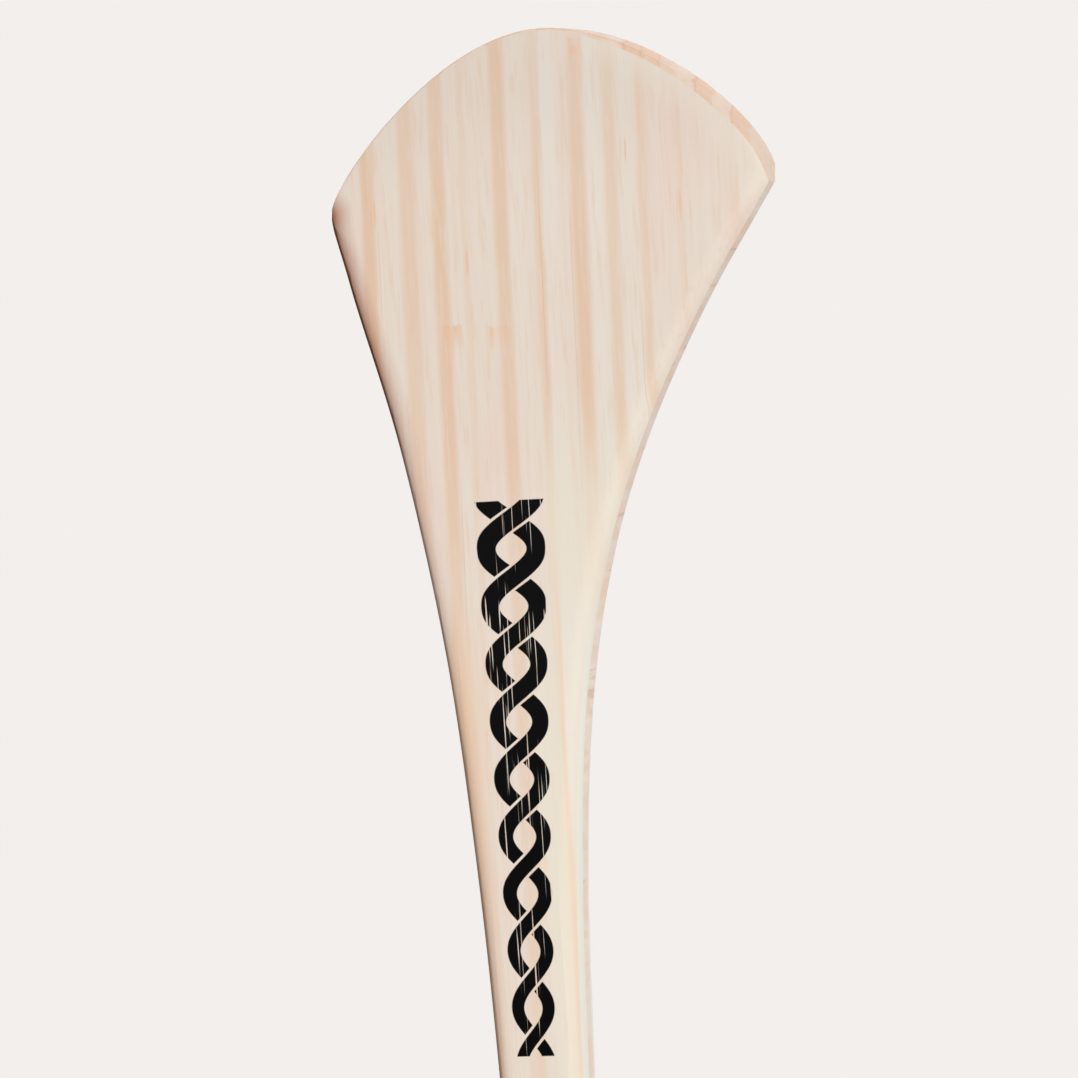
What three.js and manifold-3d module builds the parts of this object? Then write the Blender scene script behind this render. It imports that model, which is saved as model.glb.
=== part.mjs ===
// A hurley: a laminated bamboo stick with a broad flat bas at its upper end and a wrapped handle
// with a hooked butt at its lower end.
// Lengths are millimetres. X runs across the face with the toe at +X, Y runs through the thickness
// with the front face at -Y, and Z runs up the shaft. Heights are measured up from the butt end,
// and the finished group is lowered so that the origin lies in the middle of the hand grip.
import * as THREE from 'three';
import { mergeVertices } from 'three/addons/utils/BufferGeometryUtils.js';
import Module from 'manifold-3d';

// Overall sizes
const hurleyLength = 889;
const basLength = 299.7;
const shaftThickness = 19.5;
const basThickness = 17;
const edgeRounding = 5;

// Bas outline
const heelReach = 44.9;
const toeReach = 84.7;
const heelCornerDrop = 49.7;
const toeCornerDrop = 47.7;
const crownShift = 21.5;
const heelCornerPull = 8.7;
const heelCrownPull = 31.6;
const toeCrownPull = 27.5;
const toeCornerPull = 17.9;
const thinningStartDrop = 250;
const thinningEndDrop = 105;

// Shaft and handle half widths, with the places at which they are measured: the waist lies under
// the neck, the swell a share of the way from the grip's upper end to the waist
const neckHalfWidth = 13.3;
const waistHalfWidth = 12.1;
const waistDrop = 73.5;
const swellHalfWidth = 14.1;
const swellShare = 0.093;
const gripHalfWidth = 11.1;
const gripNarrowHeight = 115;

// Butt lip
const lipReach = 44.3;
const lipTipTop = 27;
const lipTipBottomRadius = 9;
const lipUnderEase = 0.8;
const lipCrownReach = 11;
const lipTipRise = 6;
const lipUndersideRise = 4;
const lipFilletRadius = 9;
const buttClipWidth = 5;
const buttClipRise = 7;

// Lamination
const lamellaWidth = 5;

// Coverings and clearances
const seatGap = 0.3;
const heelWrapThickness = 1.3;
const heelBandThickness = 1.2;
const gripThickness = 2.2;
const gripTurns = 17;
const gripTurnGap = 0.55;
const gripStartMiddle = 28;
const gripStartSlope = 0.36;
const gripEnd = 300;
const endTapeLength = 24;
const endTapeThickness = 0.9;
const endTapeLapLength = 8;
const endTapeLapThickness = 2;

// Heel band edges, at the straight side and at the lip tip
const bandLowStraight = 7;
const bandHighStraight = 16;
const bandLowTip = 12.4;
const bandHighTip = 25.4;

// Overrun of every cutting tool past what it cuts
const overrun = 12;

// Facet counts
const roundingSegments = 3;
const sideSteps = 3;
const endSteps = 14;
const cornerSteps = 4;
const filletSteps = 4;
const thinningSteps = 6;
const gripCornerSteps = 4;
const gripFlatSteps = 2;

// Heights and widths that follow from the sizes above
const heelWrapOuter = seatGap + heelWrapThickness;
const woodEnd = heelWrapOuter;
const neckHeight = hurleyLength - basLength;
const waistHeight = neckHeight - waistDrop;
const swellHeight = gripEnd + swellShare * (waistHeight - gripEnd);
const heelCornerHeight = hurleyLength - heelCornerDrop;
const toeCornerHeight = hurleyLength - toeCornerDrop;
const halfShaft = shaftThickness / 2;
const halfBas = basThickness / 2;
const handHeight = (gripStartMiddle + gripEnd) / 2;
const lipUnderRadius = edgeRounding + lipUnderEase;

// Each side of the bas, from the neck to past its corner, as shares of the way out from the neck
// width to the side's reach, and of the way up from the neck to the side's corner
const heelSideShares = [
  [0.074, 0.24], [0.222, 0.48], [0.519, 0.72], [0.853, 0.894], [1.022, 0.984], [1.66, 1.3],
];
const toeSideShares = [
  [0.035, 0.24], [0.111, 0.437], [0.241, 0.595], [0.422, 0.727], [0.675, 0.86], [0.961, 0.982], [1.57, 1.23],
];

const wasm = await Module();
wasm.setup();

function solidFrom(geometry) {
  geometry.deleteAttribute('normal');
  geometry.deleteAttribute('uv');
  const merged = mergeVertices(geometry);
  return new wasm.Manifold(new wasm.Mesh({
    numProp: 3,
    vertProperties: new Float32Array(merged.attributes.position.array),
    triVerts: new Uint32Array(merged.index.array),
  }));
}

function geometryFrom(solid) {
  const mesh = solid.getMesh();
  const geometry = new THREE.BufferGeometry();
  geometry.setAttribute('position', new THREE.BufferAttribute(mesh.vertProperties, 3));
  geometry.setIndex(new THREE.BufferAttribute(mesh.triVerts, 1));
  return geometry;
}

// One edge of the handle and bas as a smooth line of points going up
function sideLine(side, reach, cornerHeight, shares) {
  const handle = [
    new THREE.Vector2(side * gripHalfWidth, gripStartMiddle),
    new THREE.Vector2(side * gripHalfWidth, gripNarrowHeight),
    new THREE.Vector2(side * swellHalfWidth, swellHeight),
    new THREE.Vector2(side * waistHalfWidth, waistHeight),
    new THREE.Vector2(side * neckHalfWidth, neckHeight),
  ];
  const flare = shares.map(([out, up]) => new THREE.Vector2(
    side * (neckHalfWidth + out * (reach - neckHalfWidth)),
    neckHeight + up * (cornerHeight - neckHeight),
  ));
  const places = [...handle, ...flare];
  return new THREE.SplineCurve(places).getPoints(sideSteps * (places.length - 1));
}

// The round that joins two straight lines meeting at a corner, going from the first to the second
function filletPoints(before, corner, after, radius, steps) {
  const back = before.clone().sub(corner).normalize();
  const ahead = after.clone().sub(corner).normalize();
  const halfAngle = Math.acos(back.dot(ahead)) / 2;
  const inwards = back.clone().add(ahead).normalize();
  const centre = corner.clone().addScaledVector(inwards, radius / Math.sin(halfAngle));
  const tangentLength = radius / Math.tan(halfAngle);
  const first = back.multiplyScalar(tangentLength).add(corner).sub(centre);
  const last = ahead.multiplyScalar(tangentLength).add(corner).sub(centre);
  const from = first.angle();
  const sweep = Math.atan2(first.cross(last), first.dot(last));
  const clockwise = sweep < 0;
  const curve = new THREE.EllipseCurve(centre.x, centre.y, radius, radius, from, from + sweep, clockwise);
  return curve.getPoints(steps);
}

const heelSide = sideLine(-1, heelReach, heelCornerHeight, heelSideShares);
const toeSide = sideLine(1, toeReach, toeCornerHeight, toeSideShares);

// The butt lip, going down from the handle's heel side, out along the underside of the lip,
// round its tip and back along the butt end to the clipped corner on the straight side
function buttLine() {
  const handle = new THREE.Vector2(-gripHalfWidth, handHeight);
  const root = new THREE.Vector2(-gripHalfWidth, lipTipTop + lipUndersideRise);
  const tipTop = new THREE.Vector2(-lipReach, lipTipTop);
  const tipBottom = new THREE.Vector2(-lipReach, woodEnd + lipTipRise);
  const crown = new THREE.Vector2(-lipCrownReach, woodEnd);
  const clipLow = new THREE.Vector2(gripHalfWidth - buttClipWidth, woodEnd);
  const clipHigh = new THREE.Vector2(gripHalfWidth, woodEnd + buttClipRise);
  return [
    ...filletPoints(handle, root, tipTop, lipFilletRadius, filletSteps),
    ...filletPoints(root, tipTop, tipBottom, lipUnderRadius, cornerSteps),
    ...filletPoints(tipTop, tipBottom, crown, lipTipBottomRadius, cornerSteps),
    crown,
    clipLow,
    clipHigh,
  ];
}

// The heel side of the handle above the lip, with the lip's fillet under it
const lip = buttLine();
const filletTop = heelSide.findIndex((point) => point.y > lip[0].y);
const heelSideAboveLip = heelSide.slice(filletTop);
const heelSideWithFillet = [...lip.slice(0, filletSteps + 1).toReversed(), ...heelSideAboveLip];

// The whole stick before its end is shaped, going round it with the wood on the left
const blankOutline = [...lip, ...toeSide, ...heelSideAboveLip.toReversed()];

// A closed line of points moved outwards by a distance, with mitred corners
function grownOutline(outline, distance) {
  return outline.map((point, index) => {
    const before = outline[(index + outline.length - 1) % outline.length];
    const after = outline[(index + 1) % outline.length];
    const arriving = point.clone().sub(before).normalize();
    const leaving = after.clone().sub(point).normalize();
    const outwards = new THREE.Vector2(arriving.y + leaving.y, -arriving.x - leaving.x).normalize();
    const reach = distance / outwards.dot(new THREE.Vector2(leaving.y, -leaving.x));
    return point.clone().addScaledVector(outwards, reach);
  });
}

// A flat outline in X and height made solid through the thickness, centred on Y
function throughThickness(outline, thickness, rounding) {
  const geometry = new THREE.ExtrudeGeometry(new THREE.Shape(outline), {
    depth: thickness - 2 * rounding,
    bevelEnabled: rounding > 0,
    bevelThickness: rounding,
    bevelSize: rounding,
    bevelOffset: -rounding,
    bevelSegments: roundingSegments,
  });
  geometry.translate(0, 0, rounding - thickness / 2);
  geometry.rotateX(Math.PI / 2);
  return solidFrom(geometry);
}

// The crown of the bas: two curves from the crown down to the corners, then straight down
function endOutline() {
  const crown = new THREE.Vector2(crownShift, hurleyLength);
  const toeCorner = new THREE.Vector2(toeReach, toeCornerHeight);
  const heelCorner = new THREE.Vector2(-heelReach, heelCornerHeight);
  const toeCurve = new THREE.CubicBezierCurve(
    toeCorner,
    new THREE.Vector2(toeReach, toeCornerHeight + toeCornerPull),
    new THREE.Vector2(crownShift + toeCrownPull, hurleyLength),
    crown,
  );
  const heelCurve = new THREE.CubicBezierCurve(
    crown,
    new THREE.Vector2(crownShift - heelCrownPull, hurleyLength),
    new THREE.Vector2(-heelReach, heelCornerHeight + heelCornerPull),
    heelCorner,
  );
  const belowButt = -overrun;
  const besideLip = -Math.max(lipReach, heelReach) - overrun;
  return [
    new THREE.Vector2(toeReach, belowButt),
    ...toeCurve.getPoints(endSteps),
    ...heelCurve.getPoints(endSteps).slice(1),
    new THREE.Vector2(-heelReach, neckHeight),
    new THREE.Vector2(besideLip, neckHeight),
    new THREE.Vector2(besideLip, belowButt),
  ];
}

// The stick seen from its edge: full thickness in the shaft, thinner in the bas
function edgeProfile() {
  const thick = halfShaft + overrun;
  const start = hurleyLength - thinningStartDrop;
  const end = hurleyLength - thinningEndDrop;
  const middle = (start + end) / 2;
  const curve = new THREE.CubicBezierCurve(
    new THREE.Vector2(halfShaft, start),
    new THREE.Vector2(halfShaft, middle),
    new THREE.Vector2(halfBas, middle),
    new THREE.Vector2(halfBas, end),
  );
  const front = [
    new THREE.Vector2(thick, -overrun),
    new THREE.Vector2(thick, start),
    ...curve.getPoints(thinningSteps),
    new THREE.Vector2(halfBas, hurleyLength + overrun),
  ];
  return [...front, ...front.toReversed().map((point) => new THREE.Vector2(-point.x, point.y))];
}

function fromEdge(profile, width, centreX) {
  const shape = new THREE.Shape(profile);
  const geometry = new THREE.ExtrudeGeometry(shape, { depth: width, bevelEnabled: false });
  geometry.translate(0, 0, centreX - width / 2);
  geometry.applyMatrix4(new THREE.Matrix4().makeBasis(
    new THREE.Vector3(0, 1, 0),
    new THREE.Vector3(0, 0, 1),
    new THREE.Vector3(1, 0, 0),
  ));
  return solidFrom(geometry);
}

// The blank grown outwards on every side, for the pieces that wrap it
function grownBlank(distance) {
  const outline = grownOutline(blankOutline, distance);
  return throughThickness(outline, shaftThickness + 2 * distance, edgeRounding + distance);
}

// A straight sided block in X and height that reaches past both faces
function zone(outline) {
  return throughThickness(outline, shaftThickness + 4 * overrun, 0);
}

const farLeft = -Math.max(lipReach, heelReach) - 2 * overrun;
const farRight = toeReach + 2 * overrun;

function levelZone(low, high) {
  return zone([
    new THREE.Vector2(farLeft, low),
    new THREE.Vector2(farRight, low),
    new THREE.Vector2(farRight, high),
    new THREE.Vector2(farLeft, high),
  ]);
}

// The space under or over the slanted line where the grip starts
function slantedZone(edge, far) {
  const heightAt = (x) => gripStartMiddle + edge - gripStartSlope * x;
  const corners = [
    new THREE.Vector2(farLeft, heightAt(farLeft)),
    new THREE.Vector2(farRight, heightAt(farRight)),
    new THREE.Vector2(farRight, far),
    new THREE.Vector2(farLeft, far),
  ];
  return zone(far > gripStartMiddle ? corners : corners.toReversed());
}

// A covering between two distances from the wood
function covering(inner, outer, where) {
  return grownBlank(outer).intersect(where).subtract(grownBlank(inner));
}

// The finished wooden stick, still in one piece
const stick = throughThickness(blankOutline, shaftThickness, edgeRounding)
  .intersect(throughThickness(endOutline(), shaftThickness + 2 * overrun, 0))
  .intersect(fromEdge(edgeProfile(), farRight - farLeft, (farLeft + farRight) / 2));

const group = new THREE.Group();
group.position.z = -handHeight;

function addPiece(name, solid, colour, roughness) {
  const material = new THREE.MeshStandardMaterial({ color: colour, roughness, metalness: 0 });
  const mesh = new THREE.Mesh(geometryFrom(solid), material);
  mesh.name = name;
  group.add(mesh);
}

// Lamellae: the stick is glued up from flat strips that lie side by side and run up the shaft,
// numbered outwards from the middle. A seam that would run along the edge of the handle moves out
// to the handle's widest place. Beside the handle the strips end, and short ones make the butt lip.
const bambooTones = [0xe3d6c5, 0xdfcdb8, 0xe6dacb, 0xdcc6ad, 0xe4d3c4];
const bambooRoughness = 0.5;
const narrowestHalf = Math.min(gripHalfWidth, waistHalfWidth);
const widestHalf = Math.max(swellHalfWidth, neckHalfWidth);
const aboveHand = levelZone(handHeight, hurleyLength + overrun);
const belowHand = levelZone(-overrun, handHeight);

function seamPlace(number) {
  const place = number * lamellaWidth;
  return place > narrowestHalf && place < widestHalf ? widestHalf : place;
}

function slab(side, inner, outer) {
  const geometry = new THREE.BoxGeometry(outer - inner, shaftThickness + overrun, hurleyLength + overrun);
  geometry.translate(side * (inner + outer) / 2, 0, hurleyLength / 2);
  return solidFrom(geometry);
}

function addBamboo(name, solid, number) {
  if (solid.isEmpty()) return;
  addPiece(name, solid, bambooTones[number % bambooTones.length], bambooRoughness);
}

function addLamellae(sideName, side, reach) {
  const count = Math.ceil(reach / lamellaWidth);
  for (let number = 1; number <= count; number += 1) {
    const inner = seamPlace(number - 1);
    const outer = seamPlace(number);
    const strip = stick.intersect(slab(side, inner, outer));
    const name = `lamella_${String(number).padStart(2, '0')}`;
    if (inner < narrowestHalf) {
      addBamboo(`${sideName}_${name}`, strip, number);
    } else {
      addBamboo(`${sideName}_${name}`, strip.intersect(aboveHand), number);
      addBamboo(`butt_${name}`, strip.intersect(belowHand), number);
    }
  }
}

addLamellae('heel', -1, Math.max(heelReach, lipReach));
addLamellae('toe', 1, toeReach);

// Heel wrap: a black bandage closed over the butt, up to where the grip starts
const wrapColour = 0x0c0c0d;
const wrapRoughness = 0.45;
const heelWrap = covering(seatGap, heelWrapOuter, slantedZone(-seatGap / 2, -overrun));
addPiece('heel_wrap', heelWrap, wrapColour, wrapRoughness);

// Heel band: one yellow loop round the lip, over the bandage
const gripColour = 0xfdb82c;
const gripRoughness = 0.3;
const bandInner = heelWrapOuter + seatGap;
const bandEdgeStraight = gripHalfWidth + bandInner;
const bandEdgeTip = -lipReach - bandInner;

function bandHeightAt(x, straight, tip) {
  return straight + (tip - straight) * (x - bandEdgeStraight) / (bandEdgeTip - bandEdgeStraight);
}

const bandZone = zone([
  new THREE.Vector2(farLeft, bandHeightAt(farLeft, bandLowStraight, bandLowTip)),
  new THREE.Vector2(farRight, bandHeightAt(farRight, bandLowStraight, bandLowTip)),
  new THREE.Vector2(farRight, bandHeightAt(farRight, bandHighStraight, bandHighTip)),
  new THREE.Vector2(farLeft, bandHeightAt(farLeft, bandHighStraight, bandHighTip)),
]);
const heelBand = covering(bandInner, bandInner + heelBandThickness, bandZone);
addPiece('heel_band', heelBand, gripColour, gripRoughness);

// Grip winding: one unbroken ribbon wound up the handle. Each turn's lower edge stands proud and
// its upper edge lies low, and the turns descend from the heel side to the toe side in front.
const gripPitch = (gripEnd - gripStartMiddle) / gripTurns;
const ribbonWidth = gripPitch - gripTurnGap;
const spareTurns = 1.25;

// Places along each edge of a section where the gap to the next turn is measured
const gapShares = [0, 0.25, 0.5, 0.75];

// The ribbon's section: shares of its width from the lower to the upper edge, and of its thickness
const ribbonShares = [[-0.5, 0], [0.5, 0], [0.5, 0.5], [0.12, 0.93], [-0.36, 1], [-0.5, 0.62]];

function widthAt(line, height) {
  for (let index = 1; index < line.length; index += 1) {
    const low = line[index - 1];
    const high = line[index];
    if (height <= high.y) {
      return Math.abs(low.x + (high.x - low.x) * (height - low.y) / (high.y - low.y));
    }
  }
  return Math.abs(line[line.length - 1].x);
}

// Places on the handle's rounded section, each with its outward direction
function ringPlaces() {
  const places = [];
  const corners = [[1, -1], [1, 1], [-1, 1], [-1, -1]];
  corners.forEach(([across, through], corner) => {
    const next = corners[(corner + 1) % corners.length];
    for (let step = 0; step <= gripCornerSteps; step += 1) {
      const angle = (corner - 1 + step / gripCornerSteps) * Math.PI / 2;
      const outwards = new THREE.Vector2(Math.cos(angle), Math.sin(angle));
      places.push({ across, through, outwards });
      if (step === gripCornerSteps) {
        for (let flat = 1; flat < gripFlatSteps; flat += 1) {
          const share = flat / gripFlatSteps;
          places.push({
            across: across + (next[0] - across) * share,
            through: through + (next[1] - through) * share,
            outwards,
          });
        }
      }
    }
  });
  return places;
}

const ring = ringPlaces();

function ringPoint(place, height, lift) {
  const toeHalf = widthAt(toeSide, height) - edgeRounding;
  const heelHalf = widthAt(heelSideWithFillet, height) - edgeRounding;
  const across = place.across > 0 ? place.across * toeHalf : place.across * heelHalf;
  const radius = edgeRounding + seatGap + lift;
  return new THREE.Vector3(
    across + place.outwards.x * radius,
    place.through * (halfShaft - edgeRounding) + place.outwards.y * radius,
    height,
  );
}

// How far round the handle each place lies, as a share of one turn
const turnShares = ring.map(() => 0);
const middleRing = ring.map((place) => ringPoint(place, handHeight, 0));
const legs = middleRing.map((point, index) => point.distanceTo(middleRing[(index + 1) % ring.length]));
const girth = legs.reduce((sum, leg) => sum + leg, 0);
for (let index = 1; index < ring.length; index += 1) {
  turnShares[index] = turnShares[index - 1] + legs[index - 1] / girth;
}

function gripWinding() {
  const sections = [];
  const lowest = gripStartMiddle - spareTurns * gripPitch;
  const turns = gripTurns + 2 * spareTurns;
  const places = Math.round(turns * ring.length);
  for (let step = 0; step <= places; step += 1) {
    const turn = Math.floor(step / ring.length);
    const index = step % ring.length;
    const place = ring[(ring.length - index) % ring.length];
    const share = index === 0 ? 0 : 1 - turnShares[ring.length - index];
    const height = lowest + (turn + share) * gripPitch;
    sections.push(ribbonShares.map(([widthShare, liftShare]) => (
      ringPoint(place, height + widthShare * ribbonWidth, liftShare * gripThickness)
    )));
  }
  return sections;
}

function loftBetween(sections) {
  const sides = sections[0].length;
  const indices = [];
  for (let row = 0; row + 1 < sections.length; row += 1) {
    for (let side = 0; side < sides; side += 1) {
      const here = row * sides + side;
      const beside = row * sides + (side + 1) % sides;
      indices.push(here, beside + sides, beside, here, here + sides, beside + sides);
    }
  }
  const last = (sections.length - 1) * sides;
  for (let side = 1; side + 1 < sides; side += 1) {
    indices.push(0, side, side + 1, last, last + side + 1, last + side);
  }
  const geometry = new THREE.BufferGeometry().setFromPoints(sections.flat());
  geometry.setIndex(indices);
  return solidFrom(geometry);
}

// The least gap between a turn and the next one up, on points along the edges of their sections
function leastTurnGap(sections) {
  const edgePoints = (section) => section.flatMap((corner, index) => {
    const next = section[(index + 1) % section.length];
    return gapShares.map((share) => corner.clone().lerp(next, share));
  });
  let least = Infinity;
  for (let step = 0; step + ring.length < sections.length; step += 1) {
    const lower = edgePoints(sections[step]);
    const upper = edgePoints(sections[step + ring.length]);
    for (const low of lower) {
      for (const high of upper) {
        least = Math.min(least, low.distanceTo(high));
      }
    }
  }
  return least;
}

const gripSections = gripWinding();
console.log(`Least gap between two turns of the grip: ${leastTurnGap(gripSections).toFixed(2)} mm`);
const ribbon = loftBetween(gripSections);
const gripWay = slantedZone(seatGap / 2, gripEnd);
addPiece('grip_winding', ribbon.intersect(gripWay), gripColour, gripRoughness);

// End tape: black tape wound round the shaft over the tail of the grip
const tapeRoughness = 0.25;
const tapeLow = gripEnd + seatGap;
const lapWay = levelZone(tapeLow, tapeLow + endTapeLapLength);
const tapeWay = levelZone(tapeLow, tapeLow + endTapeLength);
const tapeLap = covering(seatGap, seatGap + endTapeLapThickness, lapWay);
const tapeRun = covering(seatGap, seatGap + endTapeThickness, tapeWay);
addPiece('grip_end_tape', tapeRun.add(tapeLap), wrapColour, tapeRoughness);

export default group;
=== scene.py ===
import math
from functools import partialmethod

import bmesh
import bpy
import numpy as np
from mathutils import Matrix, Vector


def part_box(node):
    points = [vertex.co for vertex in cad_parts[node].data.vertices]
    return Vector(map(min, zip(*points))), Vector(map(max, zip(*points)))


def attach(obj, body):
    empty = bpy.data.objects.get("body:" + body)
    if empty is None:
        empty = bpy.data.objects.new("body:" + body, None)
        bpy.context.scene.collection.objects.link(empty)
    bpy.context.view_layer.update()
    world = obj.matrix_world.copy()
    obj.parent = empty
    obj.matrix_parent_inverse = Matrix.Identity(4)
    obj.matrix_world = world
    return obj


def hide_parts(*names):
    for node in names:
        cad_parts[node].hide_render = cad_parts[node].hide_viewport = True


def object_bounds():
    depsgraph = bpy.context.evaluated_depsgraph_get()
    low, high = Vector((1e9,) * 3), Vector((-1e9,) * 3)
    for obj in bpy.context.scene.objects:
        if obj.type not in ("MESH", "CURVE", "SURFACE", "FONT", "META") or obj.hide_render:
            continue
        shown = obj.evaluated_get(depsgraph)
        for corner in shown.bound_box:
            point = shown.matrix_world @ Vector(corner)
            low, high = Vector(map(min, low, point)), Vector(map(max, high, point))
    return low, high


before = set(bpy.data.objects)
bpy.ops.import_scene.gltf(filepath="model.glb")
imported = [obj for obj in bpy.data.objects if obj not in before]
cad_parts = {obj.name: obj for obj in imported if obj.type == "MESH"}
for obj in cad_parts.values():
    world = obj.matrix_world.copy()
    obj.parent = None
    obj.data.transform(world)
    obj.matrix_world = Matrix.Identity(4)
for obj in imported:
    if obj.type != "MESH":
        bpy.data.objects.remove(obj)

cad_low, cad_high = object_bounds()
MM = 0.001

# Sizes that the frame gives
BUTT = cad_low.z
HURLEY_LENGTH = cad_high.z - BUTT
HAND_HEIGHT = -BUTT
TOE_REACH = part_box("toe_lamella_17")[1].x
HEEL_REACH = -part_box("heel_lamella_09")[0].x
LIP_REACH = -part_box("butt_lamella_09")[0].x
HALF_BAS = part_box("toe_lamella_17")[1].y
HALF_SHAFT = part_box("heel_lamella_01")[1].y
LAMELLA_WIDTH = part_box("toe_lamella_01")[1].x
GRIP_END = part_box("grip_winding")[1].z - BUTT
TAPE_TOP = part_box("grip_end_tape")[1].z - BUTT

# Bas outline
NECK_HEIGHT = HURLEY_LENGTH - 299.7 * MM
HEEL_CORNER = np.array([-HEEL_REACH, HURLEY_LENGTH - 49.7 * MM])
TOE_CORNER = np.array([TOE_REACH, HURLEY_LENGTH - 47.7 * MM])
CROWN = np.array([21.5 * MM, HURLEY_LENGTH])
HEEL_CORNER_PULL = 8.7 * MM
HEEL_CROWN_PULL = 31.6 * MM
TOE_CROWN_PULL = 27.5 * MM
TOE_CORNER_PULL = 17.9 * MM
THINNING_START = HURLEY_LENGTH - 250 * MM
THINNING_END = HURLEY_LENGTH - 105 * MM
EDGE_ROUNDING = 5 * MM

# Half widths of the shaft and handle, each with its height
NECK_HALF = 13.3 * MM
WAIST_HALF = 12.1 * MM
WAIST_HEIGHT = NECK_HEIGHT - 73.5 * MM
SWELL_HALF = 14.1 * MM
SWELL_SHARE = 0.093
SWELL_HEIGHT = GRIP_END + SWELL_SHARE * (WAIST_HEIGHT - GRIP_END)
GRIP_HALF = 11.1 * MM
GRIP_NARROW_HEIGHT = 115 * MM
GRIP_START = 28 * MM
GRIP_START_SLOPE = 0.36

# Butt lip
SEAT_GAP = 0.3 * MM
WRAP_THICKNESS = 1.3 * MM
WOOD_END = SEAT_GAP + WRAP_THICKNESS
LIP_TIP_TOP = 27 * MM
LIP_TIP_RISE = 6 * MM
LIP_UNDERSIDE_RISE = 4 * MM
LIP_FILLET_RADIUS = 9 * MM
LIP_UNDER_RADIUS = 5.8 * MM
LIP_TIP_BOTTOM_RADIUS = 9 * MM
LIP_CROWN_REACH = 11 * MM
BUTT_CLIP_WIDTH = 5 * MM
BUTT_CLIP_RISE = 7 * MM

# Sides of the bas, as shares of the way out from the neck to the reach and up to the corner
HEEL_SIDE_SHARES = (
    (0.074, 0.24), (0.222, 0.48), (0.519, 0.72), (0.853, 0.894), (1.022, 0.984), (1.66, 1.3),
)
TOE_SIDE_SHARES = (
    (0.035, 0.24), (0.111, 0.437), (0.241, 0.595), (0.422, 0.727), (0.675, 0.86), (0.961, 0.982),
    (1.57, 1.23),
)


# Outline of the wooden blank

def smooth_line(places, steps):
    """A smooth line of points through the places."""
    places = np.array(places)
    ends = np.vstack([places[:1], places, places[-1:]])
    line = []
    for before, start, stop, after in zip(ends, ends[1:], ends[2:], ends[3:]):
        leaving = (stop - before) / 2
        arriving = (after - start) / 2
        for t in np.arange(steps) / steps:
            cubic = 2 * start - 2 * stop + leaving + arriving
            square = 3 * stop - 3 * start - 2 * leaving - arriving
            line.append(cubic * t ** 3 + square * t ** 2 + leaving * t + start)
    return np.vstack([line, places[-1]])


def side_line(side, corner, shares, steps=24):
    """One side of the blank, from the grip's start up past the corner of the bas."""
    reach = side * corner[0]
    handle = [
        (GRIP_HALF, GRIP_START), (GRIP_HALF, GRIP_NARROW_HEIGHT), (SWELL_HALF, SWELL_HEIGHT),
        (WAIST_HALF, WAIST_HEIGHT), (NECK_HALF, NECK_HEIGHT),
    ]
    flare = [
        (NECK_HALF + out * (reach - NECK_HALF), NECK_HEIGHT + up * (corner[1] - NECK_HEIGHT))
        for out, up in shares
    ]
    return smooth_line(handle + flare, steps) * (side, 1)


def unit(vector):
    return vector / np.linalg.norm(vector)


def fillet(before, corner, after, radius, steps=10):
    """The round between two straight lines that meet at a corner."""
    before, corner, after = (np.array(place) for place in (before, corner, after))
    back = unit(before - corner)
    ahead = unit(after - corner)
    half_angle = math.acos(back @ ahead) / 2
    centre = corner + unit(back + ahead) * radius / math.sin(half_angle)
    reach = radius / math.tan(half_angle)
    first = corner + back * reach - centre
    last = corner + ahead * reach - centre
    start = math.atan2(first[1], first[0])
    sweep = math.atan2(first[0] * last[1] - first[1] * last[0], first @ last)
    angles = start + sweep * np.linspace(0, 1, steps + 1)
    return centre + radius * np.column_stack([np.cos(angles), np.sin(angles)])


def bezier(start, first, second, stop, steps=60):
    t = np.linspace(0, 1, steps + 1)[:, None]
    start, first, second, stop = (np.array(place) for place in (start, first, second, stop))
    return (
        start * (1 - t) ** 3 + first * 3 * t * (1 - t) ** 2
        + second * 3 * t ** 2 * (1 - t) + stop * t ** 3
    )


def butt_outline():
    """From the handle's heel side out along the lip, round its tip and back to the straight side."""
    handle = (-GRIP_HALF, HAND_HEIGHT)
    root = (-GRIP_HALF, LIP_TIP_TOP + LIP_UNDERSIDE_RISE)
    tip_top = (-LIP_REACH, LIP_TIP_TOP)
    tip_bottom = (-LIP_REACH, WOOD_END + LIP_TIP_RISE)
    crown = (-LIP_CROWN_REACH, WOOD_END)
    clip_low = (GRIP_HALF - BUTT_CLIP_WIDTH, WOOD_END)
    clip_high = (GRIP_HALF, WOOD_END + BUTT_CLIP_RISE)
    return np.vstack([
        fillet(handle, root, tip_top, LIP_FILLET_RADIUS),
        fillet(root, tip_top, tip_bottom, LIP_UNDER_RADIUS),
        fillet(tip_top, tip_bottom, crown, LIP_TIP_BOTTOM_RADIUS),
        [crown, clip_low, clip_high],
    ])


heel_side = side_line(-1, HEEL_CORNER, HEEL_SIDE_SHARES)
toe_side = side_line(1, TOE_CORNER, TOE_SIDE_SHARES)
butt = butt_outline()
heel_above_lip = heel_side[heel_side[:, 1] > butt[0, 1]]
blank = np.vstack([butt, toe_side, heel_above_lip[::-1]])
lip_fillet = butt[butt[:, 0] > -GRIP_HALF - LIP_FILLET_RADIUS / 2]
heel_handle = np.vstack([lip_fillet[lip_fillet[:, 1] > LIP_TIP_TOP][::-1], heel_above_lip])
crown_heel = bezier(
    HEEL_CORNER, HEEL_CORNER + (0, HEEL_CORNER_PULL), CROWN - (HEEL_CROWN_PULL, 0), CROWN,
)
crown_toe = bezier(
    CROWN, CROWN + (TOE_CROWN_PULL, 0), TOE_CORNER + (0, TOE_CORNER_PULL), TOE_CORNER,
)
crown_line = np.vstack([crown_heel, crown_toe[1:]])
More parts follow.
